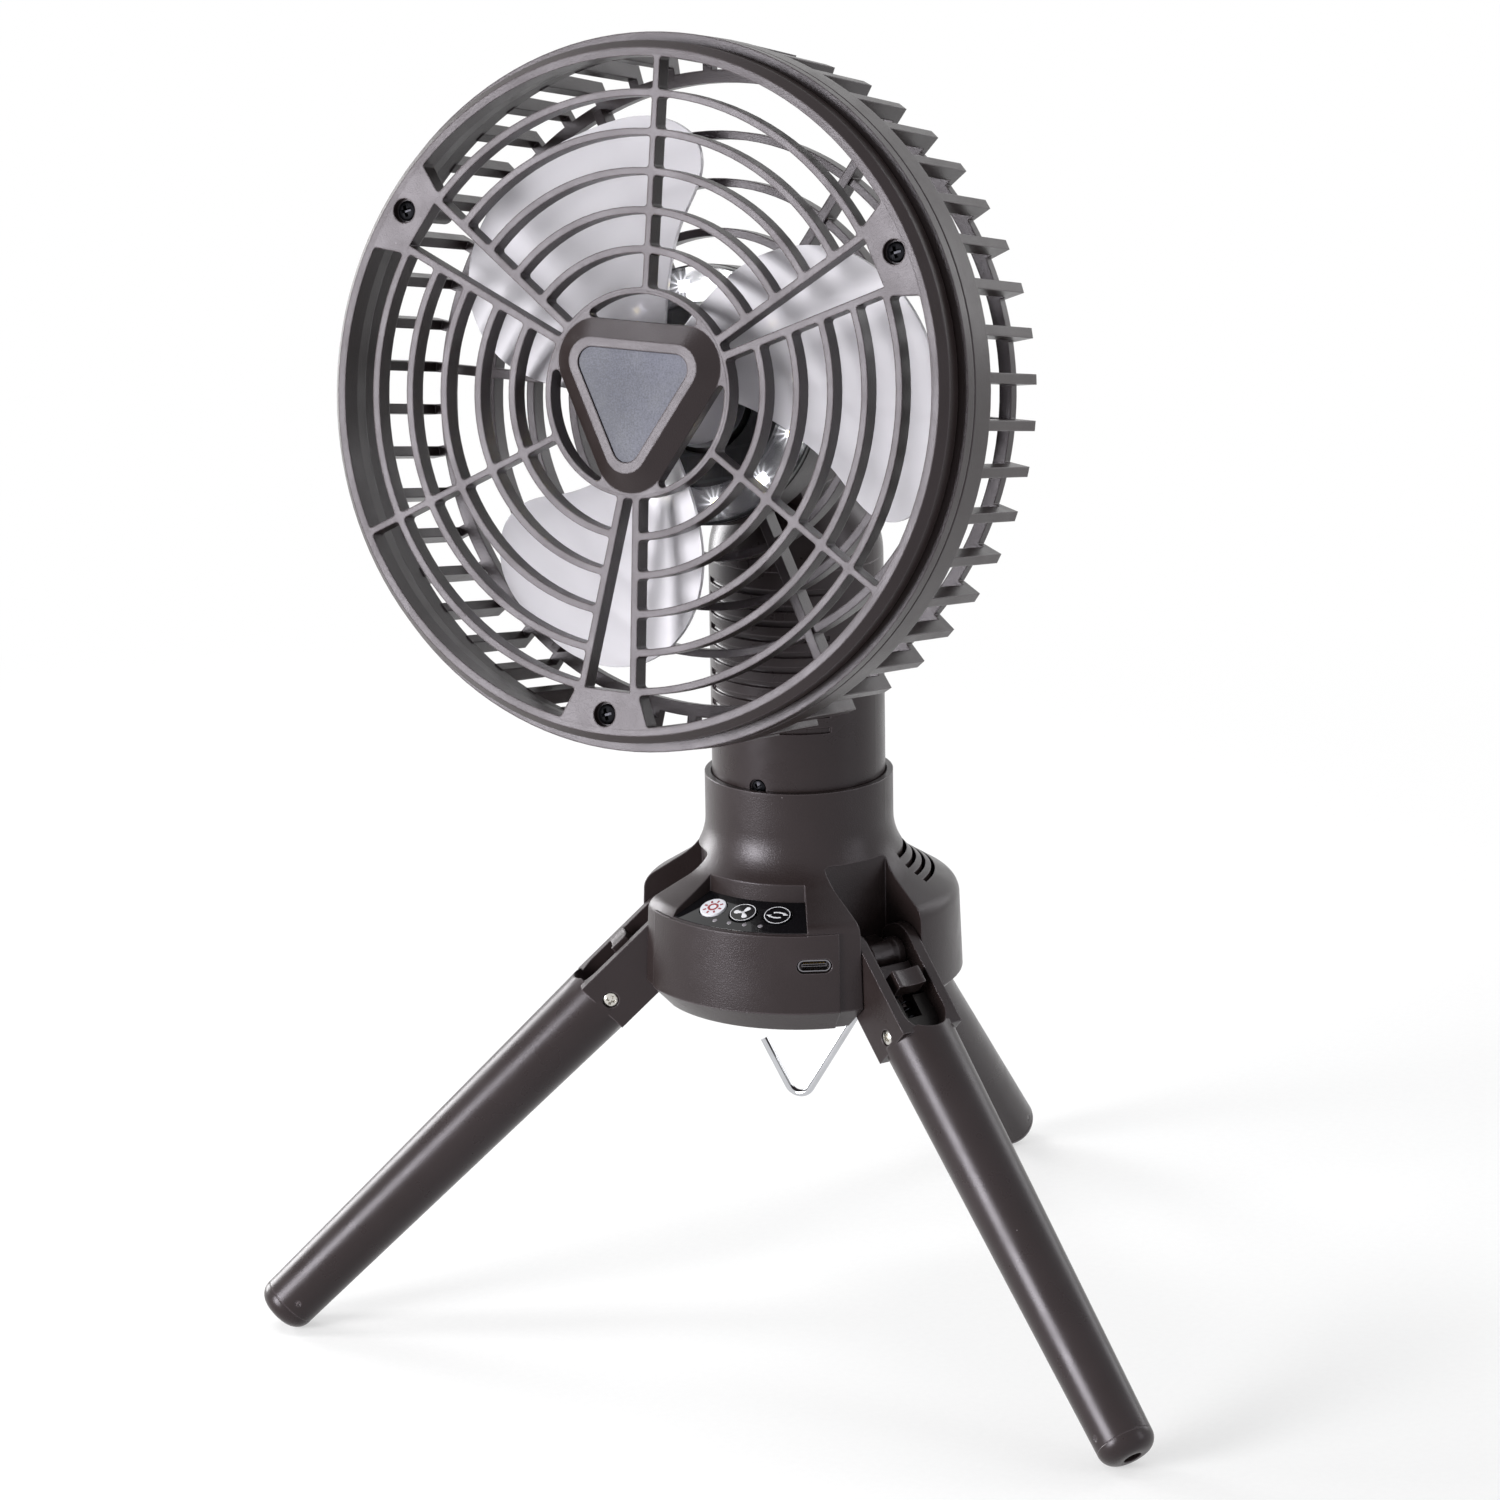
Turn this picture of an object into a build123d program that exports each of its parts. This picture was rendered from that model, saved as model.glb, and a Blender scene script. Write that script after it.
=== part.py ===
from build123d import *
import os
from math import atan2, cos, degrees, radians, sin, sqrt, tan

# Portable camping fan on a folding tripod. Millimetres and degrees, +Z up.
# Z is the column's axis, the feet stand on z = 0 and the control panel faces -Y.

# Clearances
slide_gap = 0.4       # flat faces that slide past each other
turn_gap = 0.35       # between the column and the collar it turns in
shaft_gap = 0.05      # round a pin or shaft that turns
seat_gap = 0.1        # round pieces that plug together
wire_gap = 0.45       # beside the hook's wire
far = 99.0            # past any edge, for cuts that go right through

# Pose at rest
leg_slope = 43.96     # below the horizontal
swing_rest = -2.9     # column about +Z
tilt_rest = 11.75     # head, upward

# Legs, measured along the leg from its hinge
leg_azimuths = {"left": 210, "right": 330, "rear": 90}
hinge_reach = 36.5    # hinge pin from the column's axis
leg_length = 157.4
leg_top_radius = 10.1
leg_foot_radius = 8.05
leg_wall = 1.7
tube_start = 26.5
cheek_half_width = 9.8
cheek_thickness = 3.0
cheek_radius = 8.0
cheek_length = 27.9
channel_end = 21.5    # centre of the channel's round end
channel_floor = -4.0
plug_radius = 6.5
plug_start = 19.2
plug_end = 36.0
core_start = 15.0
core_top = 3.0
spring_bore = 2.4
cheek_screw_at = 24.4
foot_round = 4.5
foot_sole_radius = 3.5
foot_seam = 5.0       # from the sole
foot_plug_length = 9.0
foot_hole_radius = 2.6
foot_hole_depth = 3.0
foot_pin_radius = 0.8

# Leg hinge and latch
pin_radius = 2.0
pin_half_length = 12.0
barrel_radius = 4.5
barrel_waist = 3.7
barrel_end = 2.05     # width of the discs at its ends
barrel_slant = 1.15
barrel_web = 5.0
latch_travel = 2.5
latch_length = 7.2
latch_height = 6.8
thumb_start = 9.4
thumb_length = 5.2
thumb_half_width = 4.35
thumb_top = 9.0
thumb_dish_radius = 9.6
thumb_dish_depth = 0.6
spring_wire = 0.3
spring_radius = 1.7
spring_turns = 9
spring_stem = 1.0
stem_reach = 2.0      # of the latch's stem into the insert
spring_seat = 6.0     # depth of plastic behind the spring

# Base, heights above its underside
hinge_height_in_base = 17.8
floor_radius = 38.5
crease_height = 6.6
wall_radius = 45.1
wall_top_radius = 44.2
shoulder_height = 29.8
shoulder_slope = 32.0
shoulder_round = 5.0
collar_radius = 26.1
collar_sweep = 17.0
collar_top = 63.0
shell_wall = 2.2
ledge_top = 50.6
ledge_thickness = 3.0
spigot_radius = 19.7
pocket_half_width = 10.2
pocket_wall = 2.0
pocket_back = 26.5
pocket_top = 42.6
bezel_proud = 0.7
bezel_start = 231.5
bezel_sweep = 77.0
bezel_top = 28.6
lip_height = 2.0
lip_thickness = 1.4
lip_gap = 0.25

# Base screws and inner posts
base_screw_radius = 34.0
base_screw_azimuths = (64, 116, 232)
post_radius = 2.6
post_seat = 5.3
screw_radius = 1.2
screw_head_radius = 2.2
screw_head_height = 1.4

# Vents in the shoulder
vent_azimuths = (30, 150)
vent_sweep = 54.0
vent_width = 1.1
vent_radii = (28.6, 31.2, 33.8, 36.4)

# Control panel, a sector of a shallow cone
front = 270
panel_margin = 0.7      # inside the top of the wall
panel_width = 12.5
panel_outer_height = 28.9
panel_slope = 21.4
panel_half_sweep = 27.5
panel_thickness = 1.2
tray_floor = 2.0
tray_wall = 2.0
button_names = ("light", "fan", "swing")
button_radius = 3.7
button_inset = 6.8       # from the panel's outer edge
button_pitch = 15.3
button_proud = 0.4
button_travel = 0.4
button_flange = 0.6
button_flange_height = 0.8
button_stem_radius = 1.2
button_stem = 0.9
indicator_inset = 2.5
indicator_radius = 0.7
indicator_pitch = 6.4
indicator_count = 4
switch_gap = 1.15
switch_side = 4.5
switch_height = 1.5
board_thickness = 1.2
button_board_half_width = 17.5
button_board_half_depth = 4.6
hanger_half = 1.2

# Charging socket
usb_azimuth = 299.75
usb_height = 19.9
usb_width = 8.94
usb_thickness = 3.26
usb_length = 7.3
usb_face = 44.4
usb_metal = 0.3
usb_tongue_width = 6.7
usb_tongue_thickness = 0.7
usb_opening = 0.35
charge_board_length = 5.5
charge_board_back = 3.6   # behind the socket's mouth
charge_board_half_width = 5.6

# Swing drive
swing_motor_radius = 14.0
swing_motor_height = 19.0
swing_boss_radius = 4.5
swing_boss_height = 1.2
swing_shaft_radius = 2.5
swing_shaft_depth = 11.0
main_board_height = 26.0
main_board_radius = 23.3
main_board_hole = 6.0
main_board_post = 19.5
main_board_post_radius = 1.8
washer_thickness = 0.5
retainer_radius = 22.5
retainer_thickness = 3.0
retainer_screw_ring = 15.0
retainer_gap = 0.3
washer_margin = 0.2

# Hook, in the plane of its wire with the pivot bar at the origin
hook_wire = 1.05
hook_bar_height = 2.2
hook_bar_start = 3.0
hook_corner = 22.2
hook_apex = (-1.2, -38.2)
hook_tip = (-12.0, -19.6)
hook_corner_bend = 2.2
hook_apex_bend = 4.0
hook_bridge_width = 3.0
hook_bridge_at = (4.0, 12.0)
recess_margin = 2.4
recess_wall = 1.6

# Column, heights above its foot
column_radius = 24.0
column_wall = 2.0
column_height = 73.5
column_floor = 2.4
spigot_bore = 12.0
wire_hole = 4.0
grip_first = 29.0
grip_pitch = 4.3
grip_count = 10
grip_half_sweep = 50.0
grip_depth = 0.8
grip_width = 1.7
column_screw_height = 12.5
column_screw_dimple = 2.6
column_screw_sunk = 0.9
column_screw_length = 5.0
plug_depth = 6.0
plug_wall = 1.6
cell_radius = 9.2
cell_length = 65.0
cell_gap = 0.2
frame_plate = 1.6
frame_radius = 21.6
frame_boss_half = 3.0
frame_boss_depth = 4.6
frame_slot_half = 2.5    # for the wires
frame_slot_start = 2.5
frame_slot_end = 17.0

# Tilt joint
pivot_forward = 20.0
pivot_height = 117.5
neck_half_width = 11.0
neck_radius = 9.5
neck_root_front = 14.0
neck_root_back = 6.0
neck_root_height = 88.0
neck_root_round = 3.0
tilt_washer = 0.8
bracket_thickness = 4.0
bracket_radius = 10.0
bracket_root_top = 11.0
bracket_root_low = 17.0
bracket_root_round = 1.5
tilt_bolt_radius = 3.0
tilt_head_radius = 5.5
tilt_head_height = 2.8

# Head, depths behind the front face of its ring
pivot_setback = 20.3      # behind the rear grille
pivot_below_axis = 3.55
ring_inner = 86.3
ring_flat = 88.45
ring_outer = 90.4
ring_chamfer = 2.3
ring_skirt = 6.9
ring_spigot = 11.0
spigot_inner = 86.9
spigot_outer = 88.7
dish_depth = 3.6
bar_width = 1.9
bar_depth = 5.0
bar_rings = (37.0, 47.0, 57.0, 67.0, 77.0)
opening_round = 0.9
crescent_round = 1.2
hub_plate = 3.4
hub_ring_outer = 27.2
hub_ring_wall = 1.6
thin_spokes = (0, 120, 240)
thin_spoke_width = 1.7
v_spokes = (60, 180, 300)
v_root = 2.2
v_end = 7.7
pad_radius = 77.5
pad_inner_sweep = 6.8    # degrees to each side
pad_outer_sweep = 9.0
pad_thickness = 5.5
grille_screw_ring = 83.3
grille_screw_bore = 3.2
grille_screw_depth = 2.2
grille_screw_head = 2.7
grille_screw_length = 12.0
emblem_spread = 15.0
emblem_round = 10.9     # its corners run into the hub's ring
emblem_lip_spread = 14.6
emblem_lip_round = 6.2
plate_spread = 14.0
plate_round = 3.9
plate_thickness = 1.2
plate_sunk = 0.4

# Rear grille
band_front = 7.5
band_back = 20.7
band_outer = 92.93
band_inner = 89.0
band_ledge = 88.5
parting_at = 11.5
parting_groove = 0.45
rib_count = 48
rib_thickness = 2.7
rib_inner = 88.2
rib_end_radius = 91.5
head_depth = 51.0
rear_ring_inner = 82.4
rear_ring_outer = 85.8
rear_ring_depth = 3.2
rear_rings = (68.5, 56.0, 43.0)
rear_ring_width = 2.2
rear_spokes = (30, 90, 150, 210, 270, 330)
rear_spoke_width = 2.6
rear_spoke_inset = 7.0     # in front of the rear grille's back
cup_radius = 34.5
cup_wall = 2.0
cup_floor = 3.0
boss_radius = 2.8

# Rotor
rotor_centre = 25.0
rotor_twist = 0.3     # depth per degree round the shaft
blade_middle = -42.0
blade_sweep = (-105, 15)
blade_sections = 7
blade_leading = ((31, -90), (46, -84), (61, -73), (70, -61))    # radius and angle
blade_trailing = ((73, -12), (66, -5), (59, -4), (47, -9), (31, -17))
blade_root_sweep = (-96, -30)
blade_tip_sweep = (-42, -27)
blade_thickness = 1.3
blade_tip = 75.3
rotor_hub_radius = 13.0
rotor_hub_wall = 1.6
rotor_hub_front = 11.0
rotor_hub_back = 35.3
rotor_boss = 4.0
rotor_shaft_radius = 1.5
rotor_shaft_front = 12.0
rotor_shaft_gap = 3.0       # before the motor's back

# Motor and lamp
fan_motor_radius = 14.0
fan_motor_front = 37.6
led_board_front = 38.6
led_board_thickness = 1.5
led_board_inner = 15.5
led_count = 12
led_ring = 29.0
led_width = 3.0
led_height = 0.8
lens_inner = 24.4
lens_outer = 33.6
lens_thickness = 0.8
lens_front = 36.6
cover_flange = 33.0
cover_flange_thickness = 2.0
cover_radius = 24.0
cover_depth = 8.0
cover_wall = 2.0
cover_screw_ring = 28.5
cover_screws = (45, 135, 225, 315)

# Worked out from the sizes above
cheek_inner = cheek_half_width - cheek_thickness
hinge_height = ((leg_length - foot_round) * sin(radians(leg_slope))
                + foot_sole_radius * cos(radians(leg_slope)) + foot_round)
base_floor = hinge_height - hinge_height_in_base
neck_height = shoulder_height + (wall_top_radius - collar_radius) * tan(radians(shoulder_slope))
column_foot = ledge_top + washer_thickness
panel_outer_radius = wall_top_radius - panel_margin
panel_inner_radius = panel_outer_radius - panel_width
button_ring = panel_outer_radius - button_inset
indicator_ring = panel_outer_radius - indicator_inset
seam = leg_length - foot_seam
cup_front = led_board_front + led_board_thickness
cup_back = head_depth - cup_floor
pivot_depth = head_depth + pivot_setback
rear_spoke_front = head_depth - rear_spoke_inset
rotor_shaft_back = cup_back - rotor_shaft_gap

on_base = Pos(0, 0, base_floor)
on_column = Pos(0, 0, base_floor + column_foot) * Rot(0, 0, swing_rest)
pivot = on_column * Pos(0, -pivot_forward, pivot_height)
on_head = pivot * Rot(-tilt_rest, 0, 0) * Plane.XZ.location * Pos(0, pivot_below_axis, pivot_depth)


def on_leg(azimuth):
    # x runs down the leg from its hinge, y across it, z out of its upper side
    return Rot(0, 0, azimuth) * Pos(hinge_reach, 0, hinge_height) * Rot(0, leg_slope, 0)


def block(x0, x1, y0, y1, z0, z1):
    return Pos((x0 + x1) / 2, (y0 + y1) / 2, (z0 + z1) / 2) * Box(x1 - x0, y1 - y0, z1 - z0)


def disc(radius, low, high):
    return Pos(0, 0, (low + high) / 2) * Cylinder(radius, high - low)


def ring(inner, outer, low, high):
    return disc(outer, low, high) - disc(inner, low - 1, high + 1)


def spun(corners, start=0.0, sweep=360.0):
    # corners are (radius, height) or (radius, height, corner rounding)
    rounds = [corner[2] if len(corner) > 2 else 0.0 for corner in corners]
    outline = FilletPolyline(*[corner[:2] for corner in corners], radius=rounds, close=True)
    return Rot(0, 0, start) * revolve(Plane.XZ * make_face(outline), Axis.Z, sweep)


def lying(shape):
    # turns a piece built along Z so that it runs along X
    return Rot(0, 90, 0) * shape


def crosswise(shape):
    # turns a piece built along Z so that it runs along Y
    return Rot(-90, 0, 0) * shape


def around(shape, angles):
    # copies about Z, clockwise from +Y as seen from +Z
    return [Rot(0, 0, -angle) * shape for angle in angles]


def prism(points, low, high):
    return Pos(0, 0, low) * extrude(make_face(Polyline(*points, close=True)), high - low)


def side_plate(points, half_width):
    # a plate in the YZ plane, centred on x = 0
    face = Plane.YZ * make_face(Polyline(*points, close=True))
    return extrude(face, half_width, both=True)


# ---- base

def base_body(inset, low=crease_height):
    # the base's outer form, drawn in by an inset
    drop = inset * tan(radians(45 - shoulder_slope / 2))
    return spun([(0, low), (wall_radius - inset, low),
                 (wall_top_radius - inset, shoulder_height - drop, shoulder_round - inset),
                 (collar_radius - inset, neck_height - drop, collar_sweep + inset),
                 (collar_radius - inset, collar_top), (0, collar_top)])


def panel_at(radius):
    # height of the control panel's top surface
    return panel_outer_height + (panel_outer_radius - radius) * tan(radians(panel_slope))


def panel_place(radius, azimuth):
    # a place on the panel with z along its outward normal
    return Rot(0, 0, azimuth) * Pos(radius, 0, panel_at(radius)) * Rot(0, panel_slope, 0)


def button_azimuths():
    return [front + (index - 1) * button_pitch for index in range(len(button_names))]


def panel_sector(sunk_top, sunk_bottom, inner, outer, half_sweep):
    # a sector of plate that follows the panel's cone, between two depths under its top
    corners = [(inner, panel_at(inner) - sunk_bottom), (outer, panel_at(outer) - sunk_bottom),
               (outer, panel_at(outer) - sunk_top), (inner, panel_at(inner) - sunk_top)]
    return spun(corners, front - half_sweep, 2 * half_sweep)


def leg_pockets(half_width, back, low, high):
    pocket = block(back, wall_radius + 10, -half_width, half_width, low, high)
    return [Rot(0, 0, azimuth) * pocket for azimuth in leg_azimuths.values()]


def base_posts(shape):
    return [Rot(0, 0, azimuth) * Pos(base_screw_radius, 0, 0) * shape for azimuth in base_screw_azimuths]


def base_shell():
    outer = base_body(0)
    shell = outer - (base_body(shell_wall, crease_height - 1) & disc(wall_radius, 0, ledge_top - ledge_thickness))
    additions = leg_pockets(pocket_half_width + pocket_wall, pocket_back - pocket_wall, crease_height, collar_top)
    tray_sweep = panel_half_sweep + tray_wall * 3
    additions.append(panel_sector(-collar_top, panel_thickness + tray_floor, panel_inner_radius - tray_wall,
                                  wall_radius - 1, tray_sweep))
    additions += base_posts(disc(post_radius, post_seat + seat_gap, neck_height))
    for piece in additions:
        shell += piece & outer
    shell += spun([(wall_radius - 1, crease_height), (wall_radius + bezel_proud, crease_height),
                   (wall_top_radius + bezel_proud, bezel_top), (wall_top_radius - 1, bezel_top)],
                  bezel_start, bezel_sweep)
    shell -= leg_pockets(pocket_half_width, pocket_back, 0, pocket_top)
    shell -= disc(spigot_radius + turn_gap, 0, collar_top)
    shell -= disc(column_radius + turn_gap, ledge_top, collar_top + 1)
    shell -= panel_sector(-collar_top, 0, panel_inner_radius, wall_radius + 2, panel_half_sweep)
    shell -= panel_sector(-1, panel_thickness, panel_inner_radius, panel_outer_radius + seat_gap, panel_half_sweep)
    for azimuth in button_azimuths():
        shell -= panel_place(button_ring, azimuth) * disc(button_radius + slide_gap, -6, 3)
    for azimuth in indicator_azimuths():
        shell -= panel_place(indicator_ring, azimuth) * disc(indicator_radius + seat_gap, -6, 3)
    shell -= usb_place() * usb_block(usb_opening, 9)
    for azimuth in vent_azimuths:
        for radius in vent_radii:
            shell -= spun([(radius, shoulder_height - 4), (radius + vent_width, shoulder_height - 4),
                           (radius + vent_width, collar_top), (radius, collar_top)],
                          azimuth - vent_sweep / 2, vent_sweep)
    shell -= base_posts(disc(screw_radius, 0, post_seat + 9))
    for side in (-1, 1):
        shell += board_hanger(side)
    for azimuth in leg_azimuths.values():
        shell -= Rot(0, 0, azimuth) * Pos(hinge_reach, 0, hinge_height_in_base) * crosswise(hinge_hole())
    return shell


def hinge_hole():
    return disc(pin_radius + shaft_gap / 2, -pin_half_length, pin_half_length)


def indicator_azimuths():
    middle = (indicator_count - 1) / 2
    return [front + (index - middle) * indicator_pitch for index in range(indicator_count)]


def button_board_top():
    return panel_thickness + tray_floor + seat_gap + button_flange_height + button_stem + switch_gap + switch_height


def board_hanger(side):
    # a foot under the panel's tray that the button board is fixed to
    along = side * (button_board_half_width - hanger_half)
    foot = block(-2, 2, along - hanger_half, along + hanger_half, -button_board_top(), -panel_thickness - tray_floor)
    return panel_place(button_ring, front) * foot


def hook_points():
    return [(hook_bar_start, 0), (hook_corner, 0), hook_apex, hook_tip]


def recess_outline(margin):
    # round the folded hook, seen from below the base: its apex points to the front
    # The wire's bend lies short of the apex point, so the front edge needs no margin there.
    right = hook_corner + margin
    back = hook_wire + wire_gap
    low = hook_apex[1] + 0.25 * margin
    return [(right, back), (right, -1.5 * margin), (hook_apex[0] + 1.4 * margin, low),
            (hook_apex[0] - 1.4 * margin, low), (hook_tip[0] - 1.4 * margin, hook_tip[1]),
            (hook_tip[0], hook_tip[1] + 1.7 * margin), (hook_bar_start - margin, back)]


def base_bottom():
    # the tapered lower cover, with the hook's recess in its underside
    outer = spun([(0, 0), (floor_radius, 0), (wall_radius, crease_height), (0, crease_height)])
    wall_in = shell_wall * tan(radians(67.5))
    inner = spun([(0, shell_wall), (floor_radius + shell_wall - wall_in, shell_wall),
                  (wall_radius + crease_height - wall_in, 2 * crease_height), (0, 2 * crease_height)])
    lip_outer = wall_radius - shell_wall - lip_gap
    lip = ring(lip_outer - lip_thickness, lip_outer, crease_height - lip_height, crease_height + lip_height)
    ceiling = hook_bar_height + hook_wire + wire_gap
    body = outer - inner
    body += lip & disc(wall_radius, 0, crease_height + lip_height)
    body -= leg_pockets(pocket_half_width + pocket_wall + seat_gap, pocket_back, crease_height, far)
    for piece in leg_pockets(pocket_half_width + pocket_wall, pocket_back - pocket_wall, 0, crease_height):
        body += piece & outer
    body += spun([(floor_radius - 1, 0), (floor_radius + bezel_proud * 1.4, 0),
                  (wall_radius + bezel_proud, crease_height), (wall_radius - 1, crease_height)],
                 bezel_start, bezel_sweep)
    body += prism(recess_outline(recess_margin + recess_wall), 0, ceiling + recess_wall) & outer
    body += ring(swing_motor_radius - 2, swing_motor_radius, 0, post_seat)
    body += base_posts(disc(post_radius, 0, post_seat))
    for azimuth in (30, 150, front):
        body += Rot(0, 0, azimuth) * Pos(main_board_post, 0, 0) * disc(main_board_post_radius, 0, main_board_height)
    body += usb_place() * block(-11, -5, -3, 3, -usb_height + 1, charge_board_low())
    body -= leg_pockets(pocket_half_width, pocket_back, -1, far)
    body -= prism(recess_outline(recess_margin), -1, ceiling)
    for start in hook_bridge_at:
        half = hook_wire + wire_gap + 0.5
        body += block(start, start + hook_bridge_width, -half, half, 0, hook_bar_height - hook_wire - seat_gap)
    body -= base_posts(disc(screw_radius + seat_gap, -1, post_seat + 9))
    body -= base_posts(disc(screw_head_radius + seat_gap, -1, screw_head_height))
    return body


def base_screws():
    screw = disc(screw_head_radius, 0, screw_head_height) + disc(screw_radius - shaft_gap, 0, post_seat + 8)
    return base_posts(screw)


def usb_place():
    # x points out of the socket
    return Rot(0, 0, usb_azimuth) * Pos(usb_face, 0, usb_height)


def usb_block(grow, length):
    half = usb_thickness / 2 + grow
    flat = usb_width / 2 - usb_thickness / 2
    body = block(-usb_length, length, -flat, flat, -half, half)
    for side in (-1, 1):
        body += Pos(0, side * flat, 0) * lying(disc(half, -usb_length, length))
    return body


def usb_port():
    hollow = usb_block(-usb_metal, 1) - block(-usb_length - 1, -usb_length + 1, -9, 9, -9, 9)
    tongue = block(-usb_length + 0.5, -0.6, -usb_tongue_width / 2, usb_tongue_width / 2,
                   -usb_tongue_thickness / 2, usb_tongue_thickness / 2)
    return usb_place() * (usb_block(0, 0) - hollow + tongue)


def charge_board_low():
    return -usb_thickness / 2 - board_thickness


def charge_board():
    board = block(-charge_board_length - charge_board_back, -charge_board_back, -charge_board_half_width, charge_board_half_width,
                  charge_board_low(), -usb_thickness / 2)
    return usb_place() * board


def control_panel():
    inset = degrees_of(seat_gap, panel_inner_radius)
    panel = panel_sector(0, panel_thickness, panel_inner_radius + seat_gap, panel_outer_radius,
                         panel_half_sweep - inset)
    for azimuth in button_azimuths():
        panel -= panel_place(button_ring, azimuth) * disc(button_radius + slide_gap, -3, 3)
    for azimuth in indicator_azimuths():
        panel -= panel_place(indicator_ring, azimuth) * disc(indicator_radius, -3, 3)
    return panel


def degrees_of(length, radius):
    return degrees(length / radius)


def indicator_lenses():
    lens = disc(indicator_radius - shaft_gap, -panel_thickness - tray_floor, 0)
    return [panel_place(indicator_ring, azimuth) * lens for azimuth in indicator_azimuths()]


def button(azimuth):
    flange_top = -(panel_thickness + tray_floor + seat_gap)
    flange_low = flange_top - button_flange_height
    cap = disc(button_radius, flange_low, button_proud)
    cap += disc(button_radius + slide_gap + button_flange, flange_low, flange_top)
    cap += disc(button_stem_radius, flange_low - button_stem, flange_low)
    return panel_place(button_ring, azimuth) * cap


def button_board():
    low = -button_board_top() - board_thickness
    board = block(-button_board_half_depth, button_board_half_depth, -button_board_half_width,
                  button_board_half_width, low, low + board_thickness)
    return panel_place(button_ring, front) * board


def tact_switches():
    top = -button_board_top() + switch_height
    half = switch_side / 2
    switches = []
    for azimuth in button_azimuths():
        across = button_ring * sin(radians(azimuth - front))
        switch = block(-half, half, across - half, across + half, top - switch_height, top)
        switches.append(panel_place(button_ring, front) * switch)
    return switches


def swing_motor():
    top = post_seat + swing_motor_height
    motor = disc(swing_motor_radius, post_seat, top) + disc(swing_boss_radius, top, top + swing_boss_height)
    return motor - disc(swing_shaft_radius + shaft_gap, top - swing_shaft_depth, top + 3)


def swing_shaft():
    low = post_seat + swing_motor_height - swing_shaft_depth + slide_gap
    return disc(swing_shaft_radius, low - column_foot, retainer_low() + retainer_thickness)


def main_board():
    top = main_board_height + board_thickness
    board = ring(main_board_hole, main_board_radius, main_board_height, top)
    board += block(-19, -12, -5, 5, top, top + 5)
    board += block(12, 18, -4, 4, top, top + 1.5)
    board += block(-4, 4, 13, 19, top, top + 3)
    return board


def swivel_washer():
    return ring(spigot_radius + turn_gap + washer_margin, column_radius - washer_margin, ledge_top, ledge_top + washer_thickness)


def leg_barrel():
    # fixed hinge barrel with a waist, on a web that stands on the pocket's back wall
    half = cheek_inner - slide_gap
    disc_at = half - barrel_end
    waist_at = disc_at - barrel_slant
    waist = spun([(0, -half), (barrel_radius, -half), (barrel_radius, -disc_at), (barrel_waist, -waist_at),
                  (barrel_waist, waist_at), (barrel_radius, disc_at), (barrel_radius, half), (0, half)])
    barrel = crosswise(waist)
    barrel += block(pocket_back - hinge_reach, -barrel_waist / 2, -half, half, -barrel_web / 2, barrel_web / 2)
    return barrel - crosswise(disc(pin_radius + shaft_gap, -half - 1, half + 1))


def at_hinges(shape):
    place = Pos(hinge_reach, 0, hinge_height_in_base)
    return [Rot(0, 0, azimuth) * place * shape for azimuth in leg_azimuths.values()]


def hook():
    outline = FilletPolyline(*hook_points(), radius=[hook_corner_bend, hook_apex_bend])
    path = Plane.XZ * outline
    start = Plane(origin=path @ 0, z_dir=path % 0)
    wire = sweep(start * Circle(hook_wire), path=path)
    return Pos(0, 0, hook_bar_height) * wire


# ---- legs

def leg_tube():
    tube = lying(spun([(0, tube_start), (leg_top_radius, tube_start), (leg_foot_radius, seam), (0, seam)]))
    tube += block(0, cheek_length, -cheek_half_width, cheek_half_width, -cheek_radius, cheek_radius)
    tube += crosswise(disc(cheek_radius, -cheek_half_width, cheek_half_width))
    tube -= lying(spun([(0, plug_end), (leg_top_radius - leg_wall, plug_end),
                        (leg_foot_radius - leg_wall, seam + 0.1), (0, seam + 0.1)]))
    tube -= lying(disc(plug_radius + seat_gap, plug_start - seat_gap, plug_end + 1))
    clear = barrel_radius + slide_gap
    tube -= block(-far, clear, -cheek_inner, cheek_inner, -far, far)
    tube -= block(clear - 1, channel_end, -cheek_inner, cheek_inner, channel_floor, far)
    tube -= Pos(channel_end, 0, 0) * disc(cheek_inner, channel_floor, far)
    tube -= crosswise(disc(pin_radius + shaft_gap, -far, far))
    tube -= Pos(cheek_screw_at, 0, 0) * crosswise(disc(screw_radius, -far, far))
    for side in (-1, 1):
        sink = disc(screw_head_radius + seat_gap, cheek_half_width - screw_head_height / 2, far)
        tube -= Pos(cheek_screw_at, 0, 0) * Rot(-90 * side, 0, 0) * sink
    return tube - foot_pin(shaft_gap)


def leg_core():
    core = lying(disc(plug_radius, plug_start, plug_end))
    core -= block(plug_start - 1, channel_end + cheek_inner + seat_gap, -far, far, core_top, far)
    half = cheek_inner - seat_gap
    core += block(core_start, channel_end, -half, half, channel_floor + seat_gap, core_top)
    core += Pos(channel_end, 0, 0) * disc(half, channel_floor + seat_gap, core_top)
    core -= lying(disc(spring_bore, core_start - 1, plug_end - spring_seat))
    core -= block(core_start - 1, channel_end, -spring_bore, spring_bore, 0, far)
    return core - Pos(cheek_screw_at, 0, 0) * crosswise(disc(screw_radius, -far, far))


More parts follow.
